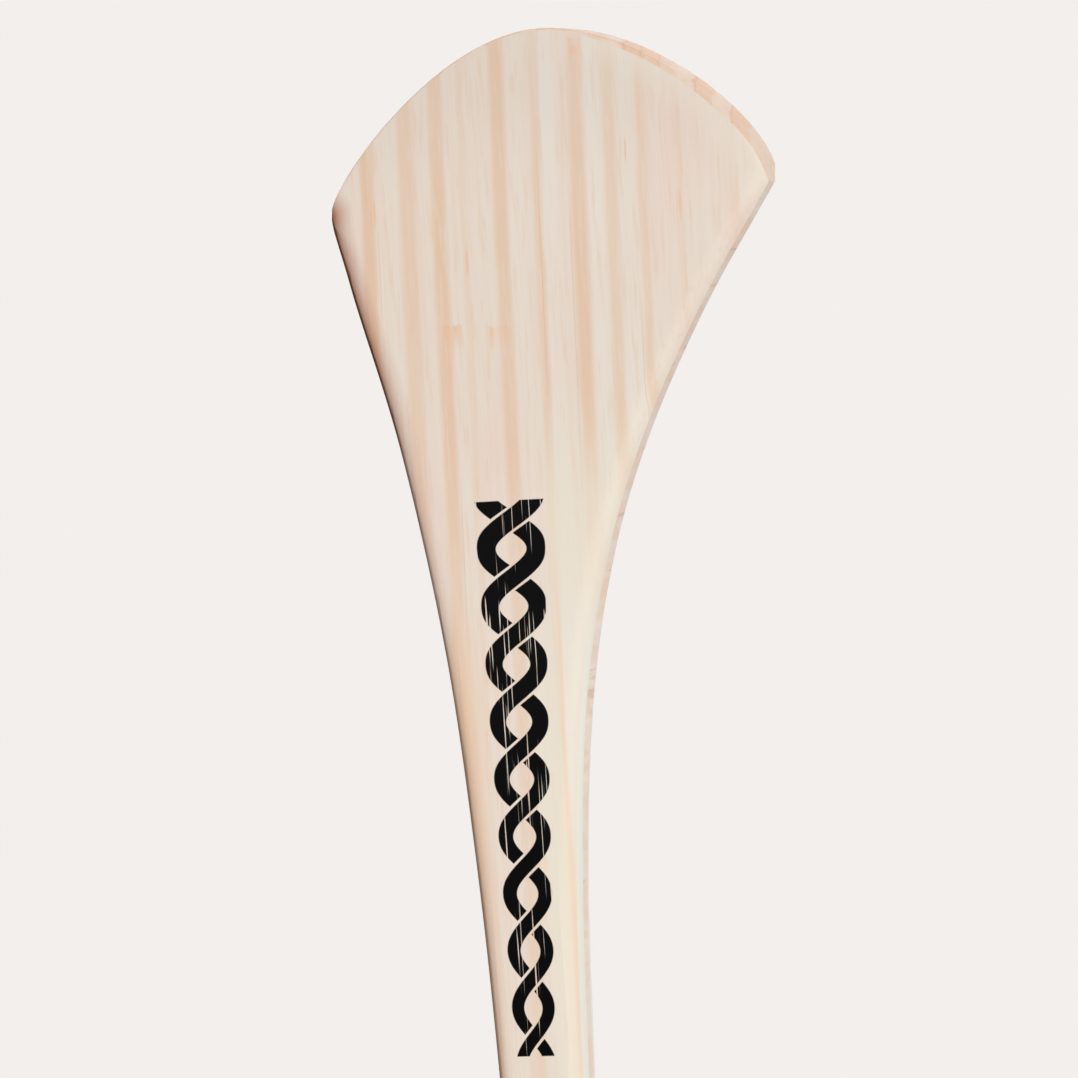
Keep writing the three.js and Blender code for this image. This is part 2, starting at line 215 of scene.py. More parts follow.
thinning = bezier(
    (HALF_SHAFT, THINNING_START),
    (HALF_SHAFT, (THINNING_START + THINNING_END) / 2),
    (HALF_BAS, (THINNING_START + THINNING_END) / 2),
    (HALF_BAS, THINNING_END),
)


def grown(outline, distance):
    """A closed outline moved outwards by a distance, with mitred corners."""
    arriving = outline - np.roll(outline, 1, axis=0)
    leaving = np.roll(outline, -1, axis=0) - outline
    arriving /= np.linalg.norm(arriving, axis=1)[:, None]
    leaving /= np.linalg.norm(leaving, axis=1)[:, None]
    outwards = np.column_stack([(arriving + leaving)[:, 1], -(arriving + leaving)[:, 0]])
    outwards /= np.linalg.norm(outwards, axis=1)[:, None]
    across = np.column_stack([leaving[:, 1], -leaving[:, 0]])
    return outline + outwards * (distance / (outwards * across).sum(axis=1))[:, None]


def distance_to(places, line, closed):
    """How far each place lies from a line of points."""
    start = line if closed else line[:-1]
    stop = np.roll(line, -1, axis=0) if closed else line[1:]
    along = stop - start
    flat = places.reshape(-1, 1, 2)
    share = ((flat - start) * along).sum(axis=2) / (along ** 2).sum(axis=1)
    nearest = start + np.clip(share, 0, 1)[..., None] * along
    return np.linalg.norm(flat - nearest, axis=2).min(axis=1).reshape(places.shape[:-1])


def half_thickness(places, cover=0.0):
    """Half the thickness of the blank, or of a covering whose outside lies that far from it."""
    radius = EDGE_ROUNDING + cover
    depth = np.minimum(distance_to(places, grown(blank, cover), True), radius)
    return HALF_SHAFT - EDGE_ROUNDING + np.sqrt(radius ** 2 - (radius - depth) ** 2)


def soften(share):
    share = np.clip(share, 0, 1)
    return share * share * (3 - 2 * share)


# The wood's sides are flat only along their middle, and the bas is eased a little along its crown
SHAFT_SIDE_FLAT = 4.6 * MM
BAS_SIDE_FLAT = 3 * MM
CROWN_EASE = 0.3 * MM
CROWN_EASE_WIDTH = 11 * MM
BEVEL_NARROW = 0.4 * MM
BEVEL_WIDE = 1.4 * MM
BEVEL_DEPTH = 0.5 * MM
BEVEL_FROM = 16 * MM
BEVEL_REACH = 30 * MM


def bevel_width(x):
    """The crown's edge is sanded off a little, and more towards the toe."""
    return BEVEL_NARROW + soften((x - BEVEL_FROM) / BEVEL_REACH) * (BEVEL_WIDE - BEVEL_NARROW)


def half_wood(places):
    """Half the thickness of the finished wood."""
    full = np.interp(places[..., 1], thinning[:, 1], thinning[:, 0])
    bas_share = (HALF_SHAFT - full) / (HALF_SHAFT - HALF_BAS)
    side_flat = SHAFT_SIDE_FLAT + bas_share * (BAS_SIDE_FLAT - SHAFT_SIDE_FLAT)
    depth = np.minimum(distance_to(places, blank, True) / EDGE_ROUNDING, 1)
    half = side_flat / 2 + (full - side_flat / 2) * np.sqrt(1 - (1 - depth) ** 2)
    from_crown = distance_to(places, crown_line, False)
    half -= CROWN_EASE * (1 - soften(from_crown / CROWN_EASE_WIDTH))
    inwards = np.minimum(from_crown / bevel_width(places[..., 0]), 1)
    return half - BEVEL_DEPTH * (1 - np.sqrt(1 - (1 - inwards) ** 2))


# The sanded crown towards the toe is painted lighter: partly its sanding, partly painted light
SANDED_LIT_FROM = 12 * MM
SANDED_LIT_REACH = 32 * MM


def sanded(places):
    """How far the face is sanded smooth and painted lighter, partly as painted light where the eased
    face turns to the lamps: fully at the crown towards the toe, not at all further in.
    """
    near = 1 - soften(distance_to(places, crown_line, False) / CROWN_EASE_WIDTH)
    return near * soften((places[..., 0] - SANDED_LIT_FROM) / SANDED_LIT_REACH)


# Painted shade along the heel's side and corner, where the edge turns away from the lamps
RIM_WIDTH = 8 * MM
RIM_RISE = 1 * MM
RIM_FALLOFF = 1.25
heel_rim = np.vstack([
    heel_side[heel_side[:, 1] < HEEL_CORNER[1]],
    crown_heel[crown_heel[:, 1] < HEEL_CORNER[1] + RIM_RISE],
])


def rim_shade(places):
    """How near a place is to the heel's side and corner: 1 on the edge, 0 further in. It sets the
    painted shade there.
    """
    return np.clip(1 - distance_to(places, heel_rim, False) / RIM_WIDTH, 0, 1) ** RIM_FALLOFF


# Meshes

WELD = 1e-6
SHARP_ANGLE = math.radians(38)


def points_at(places, across):
    """Places lifted into the frame, each at its own distance across the thickness."""
    across = np.broadcast_to(across, places.shape[:-1])
    return np.stack([places[..., 0], across, places[..., 1] + BUTT], axis=-1)


def new_mesh(name, vertices, faces, marks=None):
    """A mesh, with a mark for each point where its material reads one."""
    mesh = bpy.data.meshes.new(name)
    mesh.from_pydata(vertices.tolist(), [], faces)
    if marks is not None:
        layer = mesh.attributes.new("mark", "FLOAT", "POINT")
        layer.data.foreach_set("value", marks)
    return mesh


def new_object(name, data):
    thing = bpy.data.objects.new(name, data)
    bpy.context.scene.collection.objects.link(thing)
    return thing


def make_piece(name, grids, materials, nodes, marks=None):
    """One closed mesh from grids of points that share borders, each with its material's number."""
    vertices, faces, slots = [], [], []
    start = 0
    for grid, material in grids:
        rows, columns = grid.shape[:2]
        index = start + np.arange(rows * columns).reshape(rows, columns)
        corners = (index[:-1, :-1], index[1:, :-1], index[1:, 1:], index[:-1, 1:])
        faces += np.stack(corners, axis=-1).reshape(-1, 4).tolist()
        slots += [material] * ((rows - 1) * (columns - 1))
        vertices.append(grid.reshape(-1, 3))
        start += rows * columns
    values = None if marks is None else np.concatenate([mark.ravel() for mark in marks])
    mesh = new_mesh(name, np.vstack(vertices), faces, values)
    mesh.polygons.foreach_set("material_index", slots)
    finish_piece(name, mesh, materials, nodes)


def finish_piece(name, mesh, materials, nodes):
    """Welds a mesh, shades it smooth and puts it in place of the nodes that it stands for."""
    shape = bmesh.new()
    shape.from_mesh(mesh)
    bmesh.ops.remove_doubles(shape, verts=shape.verts, dist=WELD)
    bmesh.ops.dissolve_degenerate(shape, edges=shape.edges, dist=WELD)
    bmesh.ops.recalc_face_normals(shape, faces=shape.faces)
    shape.to_mesh(mesh)
    shape.free()
    for material in materials:
        mesh.materials.append(material)
    mesh.shade_smooth()
    mesh.set_sharp_from_angle(angle=SHARP_ANGLE)
    piece = new_object(name, mesh)
    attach(piece, "root")
    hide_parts(*nodes)


# Node trees

def srgb(red, green, blue):
    """A colour written as on a screen, from 0 to 255, as the light that it stands for."""
    shares = (value / 255 for value in (red, green, blue))
    return tuple(s / 12.92 if s <= 0.04045 else ((s + 0.055) / 1.055) ** 2.4 for s in shares) + (1.0,)


class Signal:
    """A number or colour in a node tree, on which sums are written as on plain numbers."""

    def __init__(self, tree, socket):
        self.tree = tree
        self.socket = socket

    def math(self, operation, *others):
        return new_node(self.tree, "Math", dict(enumerate((self, *others))), operation=operation)

    __add__ = partialmethod(math, "ADD")
    __sub__ = partialmethod(math, "SUBTRACT")
    __mul__ = partialmethod(math, "MULTIPLY")
    __truediv__ = partialmethod(math, "DIVIDE")
    __abs__ = partialmethod(math, "ABSOLUTE")

    def ramp(self, low, high, start=0.0, stop=1.0):
        """Goes smoothly from start to stop while the signal goes from low to high."""
        inputs = dict(enumerate((self, low, high, start, stop)))
        return new_node(self.tree, "MapRange", inputs, interpolation_type="SMOOTHSTEP")

    def fade(self, low, high, *strengths):
        """The same for a length, with low and high in millimetres."""
        return self.ramp(low * MM, high * MM, *strengths)


def plug(tree, value, socket):
    if isinstance(value, Signal):
        tree.links.new(value.socket, socket)
    else:
        socket.default_value = value


def new_node(tree, kind, inputs, output=0, **settings):
    """Adds a node, with its inputs by number or name, and gives one of its outputs."""
    node = tree.nodes.new("ShaderNode" + kind)
    for name, value in settings.items():
        setattr(node, name, value)
    for place, value in inputs.items():
        plug(tree, value, node.inputs[place])
    return Signal(tree, node.outputs[output])


def parts(tree, vector):
    """The parts of a vector along X, Y and Z."""
    node = tree.nodes.new("ShaderNodeSeparateXYZ")
    plug(tree, vector, node.inputs[0])
    return [Signal(tree, socket) for socket in node.outputs]


def mixed(tree, share, first, second):
    return new_node(tree, "Mix", {0: share, 6: first, 7: second}, 2, data_type="RGBA")


class Paint:
    """A material under construction."""

    def __init__(self, name, **settings):
        self.material = bpy.data.materials.new(name)
        self.material.use_nodes = True
        self.tree = self.material.node_tree
        self.shader = self.tree.nodes["Principled BSDF"]
        self.noises = {}
        for key, value in settings.items():
            self.set(key.replace("_", " "), value)
        self.place = new_node(self.tree, "TexCoord", {}, "Object")
        self.x, self.y, self.z = parts(self.tree, self.place)

    def set(self, key, value):
        plug(self.tree, value, self.shader.inputs[key])

    def noise(self, kind):
        """Smooth noise between 0 and 1: its features a metre along X, Y and Z, detail and offset."""
        if kind not in self.noises:
            *stretch, detail, offset = kind
            inputs = {0: self.place, 1: stretch, 2: [offset] * 3}
            scaled = new_node(self.tree, "VectorMath", inputs, operation="MULTIPLY_ADD")
            inputs = {"Vector": scaled, "Scale": 1.0, "Detail": detail}
            self.noises[kind] = new_node(self.tree, "TexNoise", inputs)
        return self.noises[kind]

    def veil(self, kind, span):
        return self.noise(kind).ramp(*span)

    def tinted(self, colour, tints):
        """A colour with tints laid over it: each tint has its noise, its span and its colour."""
        for kind, span, tint in tints:
            colour = self.mix(self.veil(kind, span), colour, tint)
        return colour

    def chance(self, number, seed):
        """A number between 0 and 1 that is the same wherever the given number is."""
        inputs = {"W": number + seed}
        return new_node(self.tree, "TexWhiteNoise", inputs, "Value", noise_dimensions="1D")

    def normal(self):
        """How far the surface faces along X and along Y."""
        return parts(self.tree, new_node(self.tree, "NewGeometry", {}, "Normal"))[:2]

    def mark(self, sign=1.0):
        """The mark that a piece keeps for its points, where it has this sign, and 0 elsewhere."""
        kept = new_node(self.tree, "Attribute", {}, "Fac", attribute_name="mark")
        return (kept * sign).math("MAXIMUM", 0.0)

    def scale(self, colour, share):
        return new_node(self.tree, "VectorMath", {0: colour, "Scale": share}, operation="SCALE")

    def mix(self, share, first, second):
        return mixed(self.tree, share, first, second)

    def bump(self, height, depth):
        """Raises the surface by up to the depth, in metres, where the height is 1."""
        self.set("Normal", new_node(self.tree, "Bump", {"Height": height, "Distance": depth}))


# Bamboo

BASE = srgb(230, 217, 204)
TAN = srgb(227, 197, 171)
PALE = srgb(231, 224, 213)
PINK = srgb(232, 210, 198)
ORANGE = srgb(233, 190, 155)
SEAM = srgb(206, 172, 146)
# Lighter where the crown is sanded, partly as painted light
SANDED_LIT = srgb(236, 225, 212)
EDGE_PINK = srgb(234, 219, 209)
EDGE_TAN = srgb(233, 209, 191)
EDGE_TICK = srgb(206, 168, 144)
EDGE_PALE = srgb(240, 227, 213)
# A painted highlight on the toe's rounding
TOE_HIGHLIGHT_CREAM = srgb(233, 232, 223)
SHAFT_TAN = srgb(230, 201, 173)
SHAFT_LINE = srgb(237, 206, 182)
SHAFT_CREAM = srgb(233, 226, 208)
# Painted shade along the heel's edge: a brown rim and a darker line
HEEL_RIM_SHADE = srgb(165, 86, 43)
HEEL_SHADE_LINE = srgb(104, 66, 34)
INK = srgb(3, 3, 4)
END_PINK = srgb(232, 212, 196)
END_ORANGE = srgb(230, 198, 174)
END_TAN = srgb(228, 195, 168)
END_PALE = srgb(234, 218, 203)
END_JOINT = srgb(212, 170, 138)


def metres(lengths, *rows):
    """Rows of a table that start with that many lengths, which are written in millimetres."""
    return [[value * MM for value in row[:lengths]] + list(row[lengths:]) for row in rows]


# The grain leans a little from the stick's axis, and its stripes are placed at this height
GRAIN_LEAN = 0.024
GRAIN_HEIGHT = 844 * MM

# Denser and paler strips of grain: place across the face and half width, then strength
TAN_STRIPES = metres(
    2, (-33, 2.6, 1), (-21, 3, 0.7), (-11.6, 2.6, 1), (-4.1, 1.3, 0.4), (6.9, 2.6, 0.9), (18, 1.6, 0.6),
    (30, 2.6, 0.95), (39.8, 2.1, 0.6), (49, 1.5, 0.55), (60, 1, 0.3), (75.6, 1.6, 0.3),
)
PALE_STRIPES = metres(
    2, (-25.4, 2.2, 0.2), (11.9, 2.8, 0.36), (21.6, 3.4, 0.8), (34.9, 3, 0.9), (44.6, 3.2, 0.7),
    (53.5, 2.6, 0.35), (69.6, 3.6, 0.55), (80.6, 3.4, 0.6),
)
STRIPE_CORE_SHARE = 0.35
STRIPE_REACH_SHARE = 1.2

# Thin seams: place across the face, and the heights between which they show
SEAMS = metres(
    3, (-30.2, 800, 845), (-8.9, 700, 765), (9.6, 640, 742), (18.3, 775, 862), (27.3, 745, 842),
    (47.2, 770, 815), (-3.2, 330, 560), (15, 420, 610),
)
SEAM_HALF = 0.24 * MM
SEAM_FADE = 16 * MM
SEAM_STRENGTH = 0.38

# Short dark spindles in the grain: place across the face, height, half width and half length
SPINDLES = metres(
    4, (59.9, 836.5, 0.55, 5.5), (-31, 840, 0.5, 5), (-32.1, 838, 0.4, 6), (-33.4, 845, 0.35, 4),
    (-3.9, 824.5, 0.5, 5.5), (30.4, 882, 1.5, 1.7), (44.5, 853, 0.35, 5),
)
SPINDLE_SPAN = (0.1, 1, 0.7, 0)

# Knuckles: place across the face, height of the upper edge and half width, then strength
KNUCKLES = metres(
    3, (-9.4, 806.8, 3.6, 0.75), (4.6, 805.6, 3.3, 0.6), (30, 886, 2.3, 0.7), (55.5, 771, 2.4, 0.45),
    (-1.6, 707, 2.8, 0.4), (10.4, 653, 2.6, 0.5), (-4.8, 548, 3, 0.7), (5.4, 502, 2.8, 0.6),
    (-0.8, 410, 2.7, 0.7), (-14, 352, 3, 0.6),
)
KNUCKLE_LENGTH = 9 * MM
KNUCKLE_EDGE = 0.6 * MM
KNUCKLE_CORE_SHARE = 0.7

# A span is two values of a signal and the strengths there, and a fade is a span in millimetres. A
# veil is a noise and its span, and a tint is a veil and its colour.
WAVER = (7, 7, 9, 1, 0)
KNUCKLE_WAVER = (700, 700, 20, 1, 0)
WAVER_REACH = 2.4 * MM
STREAK = (420, 420, 9, 3, 0)
FLECK = (1000, 1000, 75, 2, 15)
FIBRE = (1700, 1700, 22, 3, 9)
CLOUD_TINTS = (
    ((60, 60, 20, 2, 0), (0.4, 0.75, 0, 0.7), PINK),
)
GRAIN_TINTS = (
    (STREAK, (0.52, 0.8, 0, 0.5), PINK),
    (STREAK, (0.2, 0.46, 0.4, 0), PALE),
    (FLECK, (0.52, 0.75, 0, 0.4), TAN),
    (FLECK, (0.25, 0.45, 0.3, 0), PALE),
    (FIBRE, (0.5, 0.8, 0, 0.25), TAN),
)
PALE_VEIL = ((18, 18, 13, 2, 4), (0.3, 0.65, 0.3, 1))
TAN_VEIL = ((26, 26, 17, 2, 7), (0.3, 0.62, 0.6, 1))
KNUCKLE_VEIL = ((900, 900, 60, 2, 2), (0.35, 0.6, 0.35, 1))
TAN_FADE = (700, 800, 0.6, 1)
SANDED_LIT_SHARE = 0.5
SANDED_STRIPE_SHARE = 0.55
FACE_ROUGHNESS = 0.5
FACE_RELIEF = 0.015 * MM

# Painted light and shade: the face is a little lighter low down and darker high up
LOW_PAINTED_LIGHT_FADE = (690, 815, 1.045, 1)
HIGH_PAINTED_SHADE_FADE = (838, 876, 1, 0.95)

# Tones of the shaft
SHAFT_FADE = (690, 740, 1, 0)
HEEL_TONE_FADE = (-13, -7, 0.8, 0)
CREAM_FADE = (4, 8, 0, 0.6)
FLARE_ACROSS_FADE = (11, 17, 0, 0.6)
FLARE_UP_FADE = (740, 790, 1, 0)
STRIP_UP_FADE = (710, 750, 1, 0)
STRIP_ACROSS_FADE = (18.8, 20, 0, 0.6)
STRIP_SEAM = 18.7 * MM
STRIP_SEAM_FADE = (0.2, 1.1, 0.45, 0)
SIDEWAYS_SPAN = (0.4, 0.75, 1, 0)
TOE_HIGHLIGHT_SPAN = (0.3, 0.6)
TOE_HIGHLIGHT_FADE = (5.6, 6.8, 0.8, 0)

# Painted light: the toe's side is lighter, and the span's last strength follows a fade up the stick
TOE_LIGHT_SPAN = (0.1, 1, 1)
TOE_LIGHT_FADE = (710, 800, 1.02, 1.1)

# The sides' cut across the grain, and the painted shade, brown, along the heel's edge
EDGE_TINTS = (
    ((60, 60, 160, 1, 13), (0.42, 0.6), EDGE_TAN),
    ((20, 40, 420, 1, 17), (0.64, 0.7, 0, 0.5), EDGE_TICK),
    ((30, 60, 240, 1, 21), (0.55, 0.7, 0, 0.5), EDGE_PALE),
)
EDGE_LEVEL_FADE = (700, 800, 1, 0.92)
SHAFT_SIDE_CUT = 2.3 * MM
BAS_SIDE_CUT = 3.5 * MM
SIDE_CUT_FADE = (640, 700, SHAFT_SIDE_CUT, BAS_SIDE_CUT)
SIDE_CUT_BLUR_FADE = (-0.25, 0.25, 0.9, 0)
TURNED_SPAN = (0.08, 0.28, 0.35, 1)
FRONT_HALF_FADE = (-1, 1, 1, 0.5)
HEEL_RIM_SHADE_FADE = (740, 810, 0.28, 1)
HEEL_SHADE_LINE_SPAN = (-0.6, -0.8, 0, 0.95)
HEEL_SHADE_LINE_DEPTH_FADE = (1.2, 2.6, 0.25, 1)
HEEL_SHADE_LINE_UP_FADE = (745, 800, 0.5, 1)

# End grain: its joints slant and waver, and each strip has a chance tone
END_SLANT = 0.22
END_WAVER = (120, 120, 120, 1, 0)
END_WAVER_REACH = 2.5 * MM
END_SEED = 5.3
END_BLEND_SPAN = (0.55, 1)
END_TONE_SPAN = (0.2, 0.8)
END_FIBRE = (2600, 2600, 2600, 2, 0)
END_TINTS = (
    ((260, 260, 260, 2, 5), (0.48, 0.7, 0, 0.55), END_TAN),
    ((320, 200, 320, 2, 8), (0.52, 0.72, 0, 0.5), END_PALE),
)
END_SPECKLES = (
    (END_FIBRE, (0.55, 0.7, 0, 0.3), END_JOINT),
)
END_JOINT_SHARE = 0.86
END_JOINT_SPAN = (0, 0.14, 0.4, 0)
# Painted shade near the heel's edge
END_RIM_SHADE_SPAN = (0.2, 1, 0, 0.9)
END_RELIEF = 0.05 * MM

# Ink ornament: a plait of two strands up the front, wider towards the bas
PLAIT_LOW = 601 * MM
PLAIT_HIGH = 750 * MM
PLAIT_EYES = 9
PLAIT_PITCH = (PLAIT_HIGH - PLAIT_LOW) / PLAIT_EYES
PLAIT_TAIL_SHARE = 0.34
PLAIT_TAIL = PLAIT_PITCH * PLAIT_TAIL_SHARE
PLAIT_LEAN = 0.02
PLAIT_LOW_REACH = 4.4 * MM
PLAIT_HIGH_REACH = 7.6 * MM
STRAND_LOW_HALF = 1.8 * MM
STRAND_HIGH_HALF = 2.9 * MM
STRAND_GAP = 0.8 * MM
INK_EDGE = 0.12 * MM
INK_VEIL = ((1500, 1500, 22, 2, 31), (0.62, 0.67, 1, 0.12))
INK_GLOSS = 0.14
FRONT_SPAN = (-0.7, -0.6, 1, 0)


def strongest(signals):
    most, *others = signals
    for signal in others:
        most = most.math("MAXIMUM", signal)
    return most


def stripes(across, table):
    """The strongest of the soft stripes in a table, at each place."""
    return strongest(
        abs(across - place).ramp(half * STRIPE_CORE_SHARE, half * STRIPE_REACH_SHARE, strength, 0.0)
        for place, half, strength in table
    )


def spindles(across, height):
    return strongest(
        (((across - place) / half).math("POWER", 2.0) + ((height - middle) / reach).math("POWER", 2.0))
        .ramp(*SPINDLE_SPAN)
        for place, middle, half, reach in SPINDLES
    )


def seams(across, height):
    return strongest(
        abs(across - place).ramp(0.0, SEAM_HALF, SEAM_STRENGTH, 0.0)
        * height.ramp(low, low + SEAM_FADE) * height.ramp(high - SEAM_FADE, high, 1, 0)
        for place, low, high in SEAMS
    )


def knuckles(across, height):
    """A knuckle has a crisp upper edge and fades downwards."""
    return strongest(
        abs(across - place).ramp(half * KNUCKLE_CORE_SHARE, half, strength, 0.0)
        * height.ramp(top - KNUCKLE_EDGE, top, 1, 0) * height.ramp(top - KNUCKLE_LENGTH, top)
        for place, top, half, strength in KNUCKLES
    )


def plait(paint, height, normal_y):
    """Where the ink of the two strands lies. They take turns to pass over each other."""
    share = (height - PLAIT_LOW) / (PLAIT_HIGH - PLAIT_LOW)
    x = paint.x - (height - PLAIT_LOW) * PLAIT_LEAN
    reach = share * (PLAIT_HIGH_REACH - PLAIT_LOW_REACH) + PLAIT_LOW_REACH
    half = share * (STRAND_HIGH_HALF - STRAND_LOW_HALF) + STRAND_LOW_HALF
    turn = (height - PLAIT_LOW) / PLAIT_PITCH
    angle = turn * math.pi
    sway = angle.math("SINE") * reach
    slope = angle.math("COSINE") * reach * (math.pi / PLAIT_PITCH)
    steep = (slope * slope + 1).math("SQRT")
    first = abs(x - sway) / steep
    second = abs(x + sway) / steep
    odd = (turn.math("ROUND") * 0.5).math("FRACT") * 2
    over = first + (second - first) * odd
    under = second + (first - second) * odd
    inked = (over - half).ramp(-INK_EDGE, INK_EDGE, 1, 0)
    passing = (under - half).ramp(-INK_EDGE, INK_EDGE, 1, 0)
    passing = passing * (over - half - STRAND_GAP).ramp(-INK_EDGE, INK_EDGE)
    middle = (PLAIT_LOW + PLAIT_HIGH) / 2
    end = middle - PLAIT_LOW + PLAIT_TAIL
    ends = abs(height - middle).ramp(end - INK_EDGE, end + INK_EDGE, 1, 0)
    return inked.math("MAXIMUM", passing) * ends * paint.veil(*INK_VEIL) * normal_y.ramp(*FRONT_SPAN)


def grain(paint, upright, height):
    """Soft tan and pale stripes, clouds, streaks and fibres along the grain, and a few knuckles."""
    across = upright + (paint.noise(WAVER) - 0.5) * WAVER_REACH
    ragged = height + (paint.noise(KNUCKLE_WAVER) - 0.5) * WAVER_REACH
    smooth = paint.mark()
    colour = paint.tinted(BASE, CLOUD_TINTS)
    colour = paint.mix(stripes(across, PALE_STRIPES) * paint.veil(*PALE_VEIL), colour, PALE)
    fading = paint.veil(*TAN_VEIL) * (smooth * -SANDED_STRIPE_SHARE + 1) * height.fade(*TAN_FADE)
    colour = paint.mix(stripes(across, TAN_STRIPES) * fading, colour, TAN)
    colour = paint.tinted(colour, GRAIN_TINTS)
    colour = paint.mix(knuckles(across, ragged) * paint.veil(*KNUCKLE_VEIL), colour, ORANGE)
    colour = paint.mix(spindles(upright, height), colour, ORANGE)
    colour = paint.mix(seams(upright, height), colour, SEAM)
    # The sanded crown's colour: partly its sanding, partly painted light
    return paint.mix(smooth * SANDED_LIT_SHARE, colour, SANDED_LIT)


def shaft_tones(paint, colour, upright, height, normal_x, sideways):
    """The shaft is browner towards the heel's side, and creamier and lighter towards the toe's, with a
    painted highlight and painted light on the toe's rounding.
    """
    shaft = height.fade(*SHAFT_FADE)
    colour = paint.mix(paint.x.fade(*HEEL_TONE_FADE) * shaft, colour, SHAFT_TAN)
    cream = paint.x.fade(*CREAM_FADE) * shaft
    flare = paint.x.fade(*FLARE_ACROSS_FADE) * height.fade(*FLARE_UP_FADE)
    colour = paint.mix(cream.math("MAXIMUM", flare), colour, SHAFT_CREAM)
    strip = height.fade(*STRIP_UP_FADE)
    colour = paint.mix(upright.fade(*STRIP_ACROSS_FADE) * strip, colour, PALE)
    colour = paint.mix(abs(upright - STRIP_SEAM).fade(*STRIP_SEAM_FADE) * strip, colour, SHAFT_LINE)
    # Painted highlight: cream along the toe's rounding
    toe = sideways * normal_x.ramp(*TOE_HIGHLIGHT_SPAN) * shaft
    colour = paint.mix(toe * abs(paint.y).fade(*TOE_HIGHLIGHT_FADE), colour, TOE_HIGHLIGHT_CREAM)
    # Painted light: the colour is scaled lighter where the surface turns to the toe
    return paint.scale(colour, normal_x.ramp(*TOE_LIGHT_SPAN, height.fade(*TOE_LIGHT_FADE)))


def side_cut(paint, colour, height, sideways):
    """The sides are cut across the grain: pinker, with blotches and fine ticks."""
    edge = paint.scale(paint.tinted(EDGE_PINK, EDGE_TINTS), height.fade(*EDGE_LEVEL_FADE))
    beyond = abs(paint.y) - height.fade(*SIDE_CUT_FADE)
    return paint.mix(sideways * beyond.fade(*SIDE_CUT_BLUR_FADE), colour, edge)


def heel_edge_shade(paint, colour, height, normal_x, normal_y):
    """Painted shade along the heel's edge: brown, and less so at the back."""
    turned = abs(normal_y).ramp(*TURNED_SPAN) * paint.y.fade(*FRONT_HALF_FADE)
    # Painted shade: a brown rim along the heel's edge, then a dark line where it turns away
    rim = paint.mark(-1.0) * height.fade(*HEEL_RIM_SHADE_FADE)
    colour = paint.mix(rim * turned, colour, HEEL_RIM_SHADE)
    line = normal_x.ramp(*HEEL_SHADE_LINE_SPAN) * abs(paint.y).fade(*HEEL_SHADE_LINE_DEPTH_FADE)
    return paint.mix(line * height.fade(*HEEL_SHADE_LINE_UP_FADE) * turned, colour, HEEL_SHADE_LINE)


def bamboo_face():
    """Long grain on the faces and sides, with the ink ornament on the front."""
    paint = Paint("bamboo_face", Roughness=FACE_ROUGHNESS, Specular_IOR_Level=0.06)
    height = paint.z - BUTT
    upright = paint.x - (height - GRAIN_HEIGHT) * GRAIN_LEAN
    normal_x, normal_y = paint.normal()
    sideways = abs(normal_y).ramp(*SIDEWAYS_SPAN)
    colour = grain(paint, upright, height)
    colour = shaft_tones(paint, colour, upright, height, normal_x, sideways)
    colour = side_cut(paint, colour, height, sideways)
    colour = heel_edge_shade(paint, colour, height, normal_x, normal_y)
    # Painted light low down and painted shade high up
    colour = paint.scale(colour, height.fade(*LOW_PAINTED_LIGHT_FADE) * height.fade(*HIGH_PAINTED_SHADE_FADE))
    ink = plait(paint, height, normal_y)
    paint.set("Base Color", paint.mix(ink, colour, INK))
    paint.set("Roughness", ink * -INK_GLOSS + FACE_ROUGHNESS)
    paint.bump(paint.noise(FIBRE) + paint.noise(STREAK), FACE_RELIEF)
    return paint.material


def bamboo_end():
    """End grain: each strip in its own tone, with soft slanting joints, a speckle of fibres, and painted
    shade near the heel's edge.
    """
    paint = Paint("bamboo_end", Roughness=0.7, Specular_IOR_Level=0.04)
    slanted = paint.x + paint.y * END_SLANT + (paint.noise(END_WAVER) - 0.5) * END_WAVER_REACH
    block = (slanted / LAMELLA_WIDTH).math("FLOOR")
    within = (slanted / LAMELLA_WIDTH).math("FRACT")
    own = paint.chance(block, END_SEED)
    following = paint.chance(block + 1.0, END_SEED)
    tone = (own + (following - own) * within.ramp(*END_BLEND_SPAN)).ramp(*END_TONE_SPAN)
    colour = paint.tinted(paint.mix(tone, END_PINK, END_ORANGE), END_TINTS)
    joint = abs(within - END_JOINT_SHARE).ramp(*END_JOINT_SPAN)
    colour = paint.mix(joint * tone, colour, END_JOINT)
    colour = paint.tinted(colour, END_SPECKLES)
    # Painted shade near the heel's edge, in the colour of the heel's dark line
    rim = paint.mark(-1.0).ramp(*END_RIM_SHADE_SPAN)
    paint.set("Base Color", paint.mix(rim, colour, HEEL_SHADE_LINE))
    paint.bump(paint.noise(END_FIBRE), END_RELIEF)
    return paint.material


face_bamboo = bamboo_face()
end_bamboo = bamboo_end()

# Distances from the outline at which the rounding of an edge is sampled
ROUNDING_STEPS = 9
BEYOND_ROUNDING_SHARE = 1.4
low_steps = EDGE_ROUNDING * (1 - np.cos(np.linspace(0, math.pi / 2, ROUNDING_STEPS)))
low_steps = np.append(low_steps, EDGE_ROUNDING * BEYOND_ROUNDING_SHARE)
BEVEL_SHARES = np.array([0, 0.1, 0.3, 0.6, 1])
EASE_STEPS = np.array([2, 3.5, 6, 9, 12]) * MM
WALL_SHARES = np.array([-1, -0.97, -0.8, -0.3, 0.3, 0.8, 0.97, 1])
ROW_STEP = 3 * MM
COLUMN_STEP = 0.8 * MM
LOW_MOST = 0.55
HIGH_MOST = 0.4
BUNCHING = math.pi / 2.4


